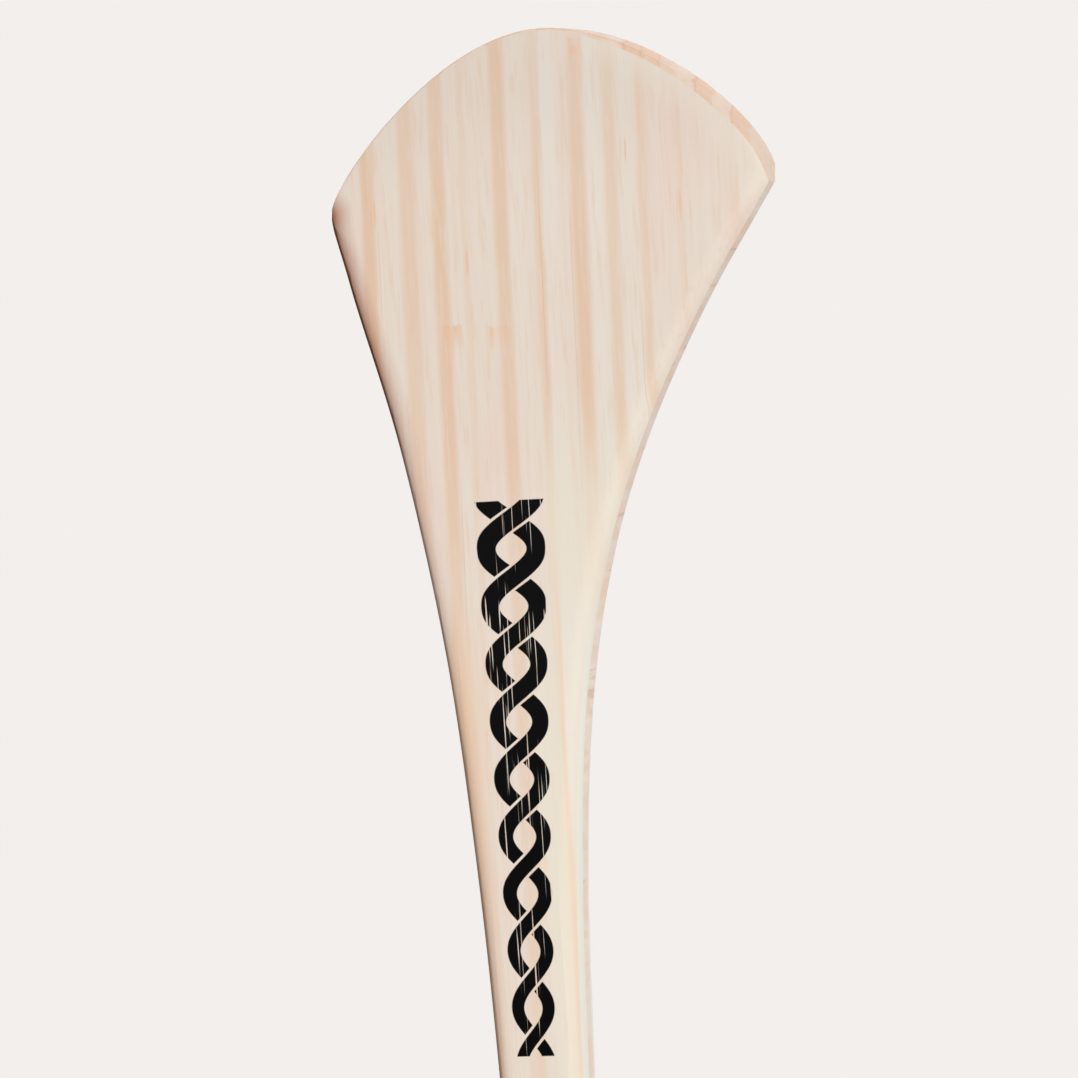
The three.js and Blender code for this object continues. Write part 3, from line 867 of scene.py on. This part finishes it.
def run_across(line, x):
    """How much of a step up at this x leads straight away from the line."""
    slope = np.gradient(line[:, 1], line[:, 0])
    rise = np.interp(x, line[:, 0], slope)
    return 1 / np.sqrt(1 + rise ** 2)


def column_heights(low, high, low_run, high_run, bevel, middle_rows):
    """Heights up one column, close together near its ends. The last few are on the bevel."""
    room = high - low
    lows = low_steps / low_run
    highs = np.append(BEVEL_SHARES * bevel, EASE_STEPS) / high_run
    lows *= min(1, LOW_MOST * room / lows[-1])
    highs *= min(1, HIGH_MOST * room / highs[-1])
    middle = np.linspace(low + lows[-1], high - highs[-1], middle_rows + 2)[1:-1]
    return np.concatenate([low + lows, middle, high - highs[::-1]])


def strip_places(side, inner, outer):
    """A grid of places over one lamella, in columns from its inner to its outer side."""
    line = toe_side if side > 0 else heel_side
    width_line = np.abs(line)
    flare = width_line[width_line[:, 1] >= NECK_HEIGHT]
    flare = flare[: np.argmax(flare[:, 0]) + 1]
    full_length = inner < GRIP_HALF
    columns = math.ceil((outer - inner) / COLUMN_STEP)
    shares = np.linspace(0, 1, columns + 1)
    if full_length and outer > GRIP_HALF:
        shares = np.cos(np.linspace(BUNCHING, 0, columns + 1))
        shares = (shares - shares[0]) / (shares[-1] - shares[0])
    widths = inner + shares * (outer - inner)
    highs = np.interp(side * widths, crown_line[:, 0], crown_line[:, 1])
    high_runs = run_across(crown_line, side * widths)
    if full_length:
        clip = np.maximum(0, side * widths - GRIP_HALF + BUTT_CLIP_WIDTH) / BUTT_CLIP_WIDTH
        lows = WOOD_END + np.minimum(clip, 1) * BUTT_CLIP_RISE
        low_runs = np.ones_like(widths)
    else:
        lows = np.interp(widths, flare[:, 0], flare[:, 1])
        low_runs = run_across(flare, widths)
    lows = np.minimum(lows, highs)
    middle_rows = math.ceil((highs - lows).max() / ROW_STEP)
    bevels = bevel_width(side * widths)
    grid = []
    for share, width, *column in zip(shares, widths, lows, highs, low_runs, high_runs, bevels):
        heights = column_heights(*column, middle_rows)
        x = np.full_like(heights, width)
        if full_length:
            edge = np.interp(heights, width_line[:, 1], width_line[:, 0])
            x = inner + share * (np.minimum(outer, edge) - inner)
        grid.append(np.column_stack([side * x, heights]))
    return np.array(grid)


def wall(places, half):
    """The grid that joins the front and back of a piece along one edge."""
    levels = half[:, None] * WALL_SHARES
    spread = np.repeat(places[:, None, :], len(WALL_SHARES), axis=1)
    return points_at(spread, levels)


def make_lamella(side_name, side, number, reach):
    inner = (number - 1) * LAMELLA_WIDTH
    outer = min(number * LAMELLA_WIDTH, reach)
    places = strip_places(side, inner, outer)
    half = half_wood(places)
    # The mark: the sanded crown with its painted light, less the painted shade at the heel's edge
    mark = sanded(places) - rim_shade(places)
    bevel_rows = len(BEVEL_SHARES)
    grids, marks = [], []
    for rows, material in ((slice(None, 1 - bevel_rows), 0), (slice(-bevel_rows, None), 1)):
        for through in (-half, half):
            grids.append((points_at(places, through)[:, rows], material))
            marks.append(mark[:, rows])
    for edge, material in ((0, 0), (-1, 0), ((slice(None), 0), 0), ((slice(None), -1), 1)):
        grids.append((wall(places[edge], half[edge]), material))
        marks.append(np.repeat(mark[edge][:, None], len(WALL_SHARES), axis=1))
    node = f"{side_name}_lamella_{number:02d}"
    name = f"strip_{side_name}_{number:02d}"
    make_piece(name, grids, (face_bamboo, end_bamboo), [node], marks)


def make_bamboo():
    for side_name, side, reach in (("heel", -1, HEEL_REACH), ("toe", 1, TOE_REACH)):
        for number in range(1, math.ceil(reach / LAMELLA_WIDTH - WELD) + 1):
            make_lamella(side_name, side, number, reach)
    for name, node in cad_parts.items():
        if name.startswith("butt_lamella"):
            node.data.materials.clear()
            node.data.materials.append(face_bamboo)


# Rings round the handle

RING_CORNER_STEPS = 8
RING_FLAT_STEPS = 6


def ring_places():
    """Places round the handle's rounded section: signs across and through, and the way outwards."""
    places = []
    corners = np.array([(1, -1), (1, 1), (-1, 1), (-1, -1)])
    for corner, (start, stop) in enumerate(zip(corners, np.roll(corners, -1, axis=0))):
        for share in np.linspace(0, 1, RING_CORNER_STEPS + 1):
            angle = (corner - 1 + share) * math.pi / 2
            places.append((*start, math.cos(angle), math.sin(angle)))
        for share in np.linspace(0, 1, RING_FLAT_STEPS + 1)[1:-1]:
            places.append((*(start + (stop - start) * share), math.cos(angle), math.sin(angle)))
    return np.array(places)


ring = ring_places()


def ring_points(place, height, lift):
    """Points on the handle's covering, in the frame, for arrays of ring places and heights."""
    toe_half = np.interp(height, toe_side[:, 1], toe_side[:, 0]) - EDGE_ROUNDING
    heel_half = -np.interp(height, heel_handle[:, 1], heel_handle[:, 0]) - EDGE_ROUNDING
    across = place[..., 0] * np.where(place[..., 0] > 0, toe_half, heel_half)
    radius = EDGE_ROUNDING + SEAT_GAP + lift
    x = across + place[..., 2] * radius
    y = place[..., 1] * (HALF_SHAFT - EDGE_ROUNDING) + place[..., 3] * radius
    return np.stack(np.broadcast_arrays(x, y, height + BUTT), axis=-1)


def turn_shares():
    """How far round the handle each ring place lies, as a share of one turn."""
    points = ring_points(ring, HAND_HEIGHT, 0.0)
    legs = np.linalg.norm(np.roll(points, -1, axis=0) - points, axis=1)
    return np.concatenate([[0], np.cumsum(legs)[:-1]]) / legs.sum()


# Grip: one ribbon wound up the handle, each turn lapping over the one below it

GRIP_TURNS = 17
GRIP_PITCH = (GRIP_END - GRIP_START) / GRIP_TURNS
SPARE_TURNS = 1.25
GRIP_THICKNESS = 2.2 * MM

# The ribbon's section: shares of the pitch up from its lower edge, and of the grip's thickness
RIBBON_SHARES = (
    (1.22, 0), (0.8, 0), (0.3, 0), (0.25, 0.36), (0.1, 0.37), (0.025, 0.37), (0, 0.44), (-0.012, 0.6),
    (-0.004, 0.78), (0.018, 0.9), (0.055, 0.965), (0.12, 0.995), (0.22, 1), (0.36, 0.975),
    (0.5, 0.92), (0.64, 0.84), (0.76, 0.745), (0.86, 0.63), (0.93, 0.51), (0.975, 0.39), (1, 0.32),
    (1.06, 0.28), (1.22, 0.26),
)

YELLOW = srgb(255, 190, 40)
YELLOW_DEEP = srgb(252, 158, 16)
# Painted shade, deep orange, in the crease where one turn meets the next
VALLEY_SHADE = srgb(214, 84, 4)
VALLEY_SHADE_TOP_SHARE = 0.36
VALLEY_SHADE_RISE_SHARE = 0.34
GRIP_TINTS = (
    ((60, 60, 60, 2, 0), (0.35, 0.7, 0, 0.5), YELLOW_DEEP),
)
GRIP_PORES = (2400, 2400, 2400, 2, 0)
GRIP_PORE_SHARE = 0.25
GRIP_STRETCH = (220, 220, 500, 2, 3)
GRIP_RELIEF = 0.07 * MM


def grip_rubber(name):
    """Soft glossy overgrip: warm yellow, with painted shade, a deep orange, where one turn meets the
    next.
    """
    paint = Paint(name, Roughness=0.34, Specular_IOR_Level=0.1, Coat_Weight=0.1, Coat_Roughness=0.16)
    colour = paint.tinted(YELLOW, GRIP_TINTS)
    paint.set("Base Color", paint.mix(paint.mark().ramp(0.0, 1.0), VALLEY_SHADE, colour))
    paint.bump(paint.noise(GRIP_PORES) * GRIP_PORE_SHARE + paint.noise(GRIP_STRETCH), GRIP_RELIEF)
    return paint.material


grip_yellow = grip_rubber("grip_yellow")


def cut_off(shape, place, normal):
    """Cuts away what lies behind a plane, and closes the mesh there."""
    geometry = shape.verts[:] + shape.edges[:] + shape.faces[:]
    result = bmesh.ops.bisect_plane(
        shape, geom=geometry, plane_co=place, plane_no=normal, clear_inner=True, dist=WELD,
    )
    edges = [item for item in result["geom_cut"] if isinstance(item, bmesh.types.BMEdge)]
    bmesh.ops.triangle_fill(shape, edges=edges, use_beauty=True, normal=normal)


def make_grip():
    """Winds the ribbon upwards, against the order of the ring's places, and cuts both ends."""
    shares = turn_shares()
    places = len(ring)
    lowest = GRIP_START - SPARE_TURNS * GRIP_PITCH
    steps = np.arange(round((GRIP_TURNS + 2 * SPARE_TURNS) * places) + 1)
    back = -steps % places
    share = np.where(back == 0, 0, 1 - shares[back])
    middle = lowest + (steps // places + share) * GRIP_PITCH
    lower_edge = middle - GRIP_PITCH / 2
    place = ring[back][:, None, :]
    section = np.array(RIBBON_SHARES)
    heights = lower_edge[:, None] + section[:, 0] * GRIP_PITCH
    points = ring_points(place, heights, section[:, 1] * GRIP_THICKNESS)
    vertex = np.arange(len(steps) * len(section)).reshape(len(steps), len(section))
    ahead = np.roll(vertex, -1, axis=1)
    faces = np.stack([vertex[:-1], ahead[:-1], ahead[1:], vertex[1:]], axis=-1).reshape(-1, 4).tolist()
    faces += [vertex[0].tolist(), vertex[-1][::-1].tolist()]
    valley_shade = np.clip((section[:, 1] - VALLEY_SHADE_TOP_SHARE) / VALLEY_SHADE_RISE_SHARE, 0, 1)
    mesh = new_mesh("grip_ribbon", points.reshape(-1, 3), faces, np.tile(valley_shade, len(steps)))
    shape = bmesh.new()
    shape.from_mesh(mesh)
    slope = Vector((GRIP_START_SLOPE, 0, 1)).normalized()
    cut_off(shape, (0, 0, BUTT + GRIP_START + SEAT_GAP), slope)
    cut_off(shape, (0, 0, BUTT + GRIP_END), Vector((0, 0, -1)))
    shape.to_mesh(mesh)
    shape.free()
    finish_piece("hand_grip", mesh, [grip_yellow], ["grip_winding"])


# Loops round the butt, on a slanted line, and the butt's wrap and band

LOOP_STEPS = 48
BAND_LOW_STRAIGHT = 7 * MM
BAND_HIGH_STRAIGHT = 16 * MM
BAND_LOW_TIP = 12.4 * MM
BAND_HIGH_TIP = 25.4 * MM
BAND_THICKNESS = 1.2 * MM
BAND_INNER = WOOD_END + SEAT_GAP
LINE_SAMPLES = 4000


def inside(places, outline):
    """True for each place inside a closed outline."""
    start, stop = outline, np.roll(outline, -1, axis=0)
    x, height = places[..., 0, None], places[..., 1, None]
    spans = (start[:, 1] > height) != (stop[:, 1] > height)
    rise = stop[:, 1] - start[:, 1]
    run = (height - start[:, 1]) * (stop[:, 0] - start[:, 0]) / np.where(rise == 0, 1, rise)
    return (spans & (x < start[:, 0] + run)).sum(axis=-1) % 2 == 1


def line_ends(height_at, outline):
    """The two x between which a slanted line runs inside an outline."""
    x = np.linspace(outline[:, 0].min(), GRIP_HALF * 2, LINE_SAMPLES)
    held = x[inside(np.column_stack([x, height_at(x)]), outline)]
    return held[0], held[-1]


def loop_on(height_at, cover):
    """A closed loop round the butt's covering, on a slanted line."""
    left, right = line_ends(height_at, grown(blank, cover))
    share = (1 - np.cos(np.linspace(0, math.pi, LOOP_STEPS + 1))) / 2
    x = left + share * (right - left)
    places = np.column_stack([x, height_at(x)])
    half = half_thickness(places, cover)
    front = points_at(places, -half)
    back = points_at(places[::-1], half[::-1])
    right_wall = wall(places[-1:], half[-1:])[0][1:-1]
    left_wall = wall(places[:1], half[:1])[0][::-1][1:-1]
    return np.vstack([front, right_wall, back, left_wall, front[:1]])


def straight_line(at_straight, at_tip):
    straight_x = GRIP_HALF + BAND_INNER
    tip_x = -LIP_REACH - BAND_INNER

    def height_at(x):
        return at_straight + (at_tip - at_straight) * (x - straight_x) / (tip_x - straight_x)

    return height_at


# The band's section: shares of its width upwards, and of its thickness outwards. The upper half
# mirrors the lower one, and then come the places on the inner side.
BAND_HALF_SHARES = (
    (0, 0), (0, 0.35), (0.012, 0.6), (0.05, 0.72), (0.1, 0.72), (0.13, 0.62), (0.16, 0.7),
    (0.22, 0.88), (0.34, 0.97), (0.5, 1),
)
BAND_INNER_SHARES = ((0.75, 0), (0.5, 0), (0.25, 0), (0, 0))
BAND_UPPER_SHARES = tuple((1 - up, out) for up, out in BAND_HALF_SHARES[-2::-1])
BAND_SHARES = BAND_HALF_SHARES + BAND_UPPER_SHARES + BAND_INNER_SHARES
# Painted shade at the band's edges, where its thickness falls away
BAND_VALLEY_SHADE_TOP_SHARE = 0.35
BAND_VALLEY_SHADE_RISE_SHARE = 0.4


def make_heel_band():
    loops, marks = [], []
    for up, out in BAND_SHARES:
        height_at = straight_line(
            BAND_LOW_STRAIGHT + up * (BAND_HIGH_STRAIGHT - BAND_LOW_STRAIGHT),
            BAND_LOW_TIP + up * (BAND_HIGH_TIP - BAND_LOW_TIP),
        )
        loops.append(loop_on(height_at, BAND_INNER + out * BAND_THICKNESS))
        valley_shade = np.clip((out - BAND_VALLEY_SHADE_TOP_SHARE) / BAND_VALLEY_SHADE_RISE_SHARE, 0, 1)
        marks.append(np.full(len(loops[-1]), valley_shade))
    grids = [(np.array(loops), 0)]
    make_piece("butt_band", grids, [grip_yellow], ["heel_band"], [np.array(marks)])


# Black wrap over the butt

WRAP_BLACK = srgb(9, 9, 10)
WRAP_GREY = srgb(17, 17, 19)
WINDING_LEAN = 0.32
WINDING_PITCH = 9 * MM
WINDING_SPAN = (0.86, 1)
CREPE = (900, 900, 2600, 2, 0)
CREPE_TINTS = (
    (CREPE, (0.35, 0.75), WRAP_GREY),
)
CREPE_ROUGHNESS_SPAN = (0.3, 0.7, 0.34, 0.52)
CREPE_SHARE = 0.35
WRAP_RELIEF = 0.12 * MM


def bandage():
    """Black rubbery bandage, with the faint ridges of its windings."""
    paint = Paint("black_bandage", Roughness=0.42, Specular_IOR_Level=0.08)
    along = paint.x * WINDING_LEAN + paint.z
    winding = (along * (2 * math.pi / WINDING_PITCH)).math("SINE").ramp(*WINDING_SPAN)
    paint.set("Base Color", paint.tinted(WRAP_BLACK, CREPE_TINTS))
    paint.set("Roughness", paint.veil(CREPE, CREPE_ROUGHNESS_SPAN))
    paint.bump(paint.noise(CREPE) * CREPE_SHARE + winding, WRAP_RELIEF)
    return paint.material


WRAP_RINGS = 16
WRAP_CENTRE = np.array([-5 * MM, 15 * MM])
BORDER_STEPS = 24
OUTLINE_STEPS = 150


def border_height(x):
    """The slanted line where the grip starts."""
    return GRIP_START - SEAT_GAP / 2 - GRIP_START_SLOPE * x


def below_border(outline):
    """The part of an outline under the grip's start, and the line across at its top."""
    left, right = line_ends(border_height, outline)
    lower = outline[outline[:, 1] < border_height(outline[:, 0])]
    left_end = np.array([left, border_height(left)])
    right_end = np.array([right, border_height(right)])
    start = np.argmin(np.linalg.norm(lower - left_end, axis=1))
    lower = np.roll(lower, -start, axis=0)
    rest = np.vstack([left_end, lower, right_end])
    legs = np.concatenate([[0], np.cumsum(np.linalg.norm(np.diff(rest, axis=0), axis=1))])
    along = np.linspace(0, legs[-1], OUTLINE_STEPS + 1)
    rest = np.column_stack([np.interp(along, legs, rest[:, axis]) for axis in (0, 1)])
    border = right_end + (left_end - right_end) * np.linspace(0, 1, BORDER_STEPS + 1)[1:-1, None]
    return rest, border


def wrap_surface(cover):
    """Grids over the butt at a distance from the wood: front, back and edge, and the loop at its top."""
    rest, border = below_border(grown(blank, cover))
    around = np.vstack([rest, border, rest[:1]])
    rings = 1 - (np.linspace(0, 1, WRAP_RINGS + 1) ** 2)[:, None, None]
    places = WRAP_CENTRE + rings * (around - WRAP_CENTRE)
    half = half_thickness(places, cover)
    edge_half = half[0, : len(rest)]
    edge = wall(rest, edge_half)
    border_half = half[0, len(rest): -1]
    top = np.vstack([
        edge[-1],
        points_at(border, border_half),
        edge[0][::-1],
        points_at(border[::-1], -border_half[::-1]),
        edge[-1][:1],
    ])
    grids = [(points_at(places, -half), 0), (points_at(places, half), 0), (edge, 0)]
    return grids, top


def make_heel_wrap():
    outer, outer_top = wrap_surface(WOOD_END)
    inner, inner_top = wrap_surface(SEAT_GAP)
    rim = np.stack([outer_top, inner_top])
    make_piece("butt_bandage", outer + inner + [(rim, 0)], [bandage()], ["heel_wrap"])


# Black tape over the grip's upper end

TAPE_LAP = 8 * MM
TAPE_LAP_EDGE = 1.2 * MM
TAPE_THICKNESS = 0.9 * MM
TAPE_LAP_THICKNESS = 2 * MM
TAPE_ROWS = 40
TAPE_WRINKLE_DEPTH = 0.05 * MM

# Wrinkles: waves in one turn, share of the rise, and phase. The rises are radians a metre
TAPE_WRINKLES = ((5, 3, 0.0), (9, -2, 1.3), (3, 7, 2.6))
TAPE_WRINKLE_RISE = 900
TAPE_WRINKLE_TWIST = 260

TAPE_BLACK = srgb(7, 7, 10)
# Painted highlights: bluish-grey streaks round the tape
TAPE_HIGHLIGHT = srgb(92, 102, 122)
TAPE_RIDGES = (90, 90, 1500, 3, 0)
TAPE_ROUGHNESS_SPAN = (0.3, 0.7, 0.1, 0.24)
TAPE_HIGHLIGHT_TINTS = (
    ((60, 60, 900, 2, 6), (0.56, 0.72, 0, 0.7), TAPE_HIGHLIGHT),
)
TAPE_RELIEF = 0.1 * MM


def black_tape():
    """Glossy black tape with the thin ridges of its turns, and painted highlights in bluish streaks."""
    paint = Paint("black_tape", Roughness=0.16, Specular_IOR_Level=0.16)
    paint.set("Base Color", paint.tinted(TAPE_BLACK, TAPE_HIGHLIGHT_TINTS))
    paint.set("Roughness", paint.veil(TAPE_RIDGES, TAPE_ROUGHNESS_SPAN))
    paint.bump(paint.noise(TAPE_RIDGES), TAPE_RELIEF)
    return paint.material


def make_end_tape():
    start = GRIP_END + SEAT_GAP
    heights = np.linspace(start, TAPE_TOP, TAPE_ROWS)[:, None]
    lap = 1 - soften((heights - start - TAPE_LAP) / TAPE_LAP_EDGE)
    lifts = TAPE_THICKNESS + lap * (TAPE_LAP_THICKNESS - TAPE_THICKNESS)
    closed = np.vstack([ring, ring[:1]])
    around = np.linspace(0, 2 * math.pi, len(closed))
    wave = sum(
        np.sin(phase + TAPE_WRINKLE_RISE * heights * rate)
        * np.cos(count * around + TAPE_WRINKLE_TWIST * heights)
        for count, rate, phase in TAPE_WRINKLES
    )
    outer = ring_points(closed, heights, lifts - abs(wave) * TAPE_WRINKLE_DEPTH)
    inner = ring_points(closed, heights[::-1], 0.0)
    grid = np.vstack([outer, inner, outer[:1]])
    make_piece("grip_tape", [(grid, 0)], [black_tape()], ["grip_end_tape"])


# Stage, light and camera

BACKDROP = srgb(243, 239, 236)
FLOOR_COLOUR = srgb(236, 231, 227)
FLOOR_SIZE = 40.0
FLOOR_NEAR = 0.25
FLOOR_FAR = 0.8
TOE_SIDE_LIGHT = (0.14, 0.138, 0.133, 1.0)
HEEL_SIDE_LIGHT = (0.03, 0.022, 0.018, 1.0)
TOE_SIDE_BOUNCE = (0.97, 0.95, 0.92, 1.0)
HEEL_SIDE_BOUNCE = (0.03, 0.022, 0.017, 1.0)
BOUNCE_SPREAD = 1.2


def glow(tree, colour):
    return new_node(tree, "Emission", {0: colour})


def blend(tree, share, first, second):
    return new_node(tree, "MixShader", {0: share, 1: first, 2: second})


def camera_ray(tree):
    return new_node(tree, "LightPath", {}, "Is Camera Ray")


def make_floor():
    """A pale floor: it takes the shadow near the stick, fades into the backdrop and gives soft light."""
    half = FLOOR_SIZE / 2
    corners = [(-half, -half, BUTT), (half, -half, BUTT), (half, half, BUTT), (-half, half, BUTT)]
    mesh = new_mesh("floor", np.array(corners), [(0, 1, 2, 3)])
    floor = new_object("floor", mesh)
    paint = Paint("floor", Roughness=0.9, Specular_IOR_Level=0.0)
    paint.set("Base Color", FLOOR_COLOUR)
    tree = paint.tree
    away = (paint.x * paint.x + paint.y * paint.y).math("SQRT").ramp(FLOOR_NEAR, FLOOR_FAR)
    lit = Signal(tree, paint.shader.outputs[0])
    seen = blend(tree, away, lit, glow(tree, BACKDROP))
    bounce = paint.mix(paint.x.ramp(-BOUNCE_SPREAD, BOUNCE_SPREAD), HEEL_SIDE_BOUNCE, TOE_SIDE_BOUNCE)
    whole = blend(tree, camera_ray(tree), glow(tree, bounce), seen)
    plug(tree, whole, tree.nodes["Material Output"].inputs[0])
    mesh.materials.append(paint.material)


def make_world():
    """A plain pale ground for the camera, over soft light that is darker towards the heel's side."""
    world = bpy.data.worlds.new("backdrop")
    bpy.context.scene.world = world
    world.use_nodes = True
    tree = world.node_tree
    side = parts(tree, new_node(tree, "TexCoord", {}, "Generated"))[0].ramp(-1.0, 1.0)
    light = mixed(tree, side, HEEL_SIDE_LIGHT, TOE_SIDE_LIGHT)
    plug(tree, mixed(tree, camera_ray(tree), light, BACKDROP), tree.nodes["Background"].inputs[0])


# Lamps: azimuth and elevation of where the light comes from, its level and its spread, in degrees
LAMPS = (
    ("key_lamp", 6, 16, 0.76, 55),
    ("heel_lamp", -48, 10, 0.12, 50),
    ("side_lamp", 116, 22, 0.34, 60),
    ("back_lamp", 186, 36, 0.72, 55),
)


def towards(azimuth, elevation):
    """The direction of a place seen from the stick, for angles in degrees."""
    across = math.radians(azimuth)
    up = math.radians(elevation)
    return Vector((math.sin(across) * math.cos(up), -math.cos(across) * math.cos(up), math.sin(up)))


def make_lamps():
    for name, azimuth, elevation, level, spread in LAMPS:
        light = bpy.data.lights.new(name, "SUN")
        light.energy = level * math.pi
        light.angle = math.radians(spread)
        lamp = new_object(name, light)
        lamp.location = towards(azimuth, elevation)
        lamp.rotation_euler = lamp.location.to_track_quat("Z", "Y").to_euler()


# Camera: azimuth, elevation and roll in degrees, and the width that it sees at its target
VIEW_AZIMUTH = 17
VIEW_ELEVATION = 3.5
VIEW_ROLL = 4
VIEW_WIDTH = 309.6 * MM
VIEW_TARGET = Vector((8.7 * MM, 0, 579.6 * MM))
LENS = 180.0
SENSOR = 36.0


def make_camera():
    """Looks level at the bas from the toe's side, rolled so that the stick leans as it does."""
    data = bpy.data.cameras.new("camera")
    data.lens = LENS
    data.sensor_width = SENSOR
    camera = new_object("camera", data)
    back = towards(VIEW_AZIMUTH, VIEW_ELEVATION)
    side = Vector((0, 0, 1)).cross(back).normalized()
    up = back.cross(side)
    roll = math.radians(VIEW_ROLL)
    right = math.cos(roll) * side - math.sin(roll) * up
    top = math.sin(roll) * side + math.cos(roll) * up
    place = VIEW_TARGET + back * (VIEW_WIDTH * LENS / SENSOR)
    camera.matrix_world = Matrix.Translation(place) @ Matrix((right, top, back)).transposed().to_4x4()
    bpy.context.scene.camera = camera


make_camera()
make_world()
make_lamps()
make_floor()
make_bamboo()
make_grip()
make_heel_wrap()
make_heel_band()
make_end_tape()

bpy.context.scene.view_settings.view_transform = "Standard"
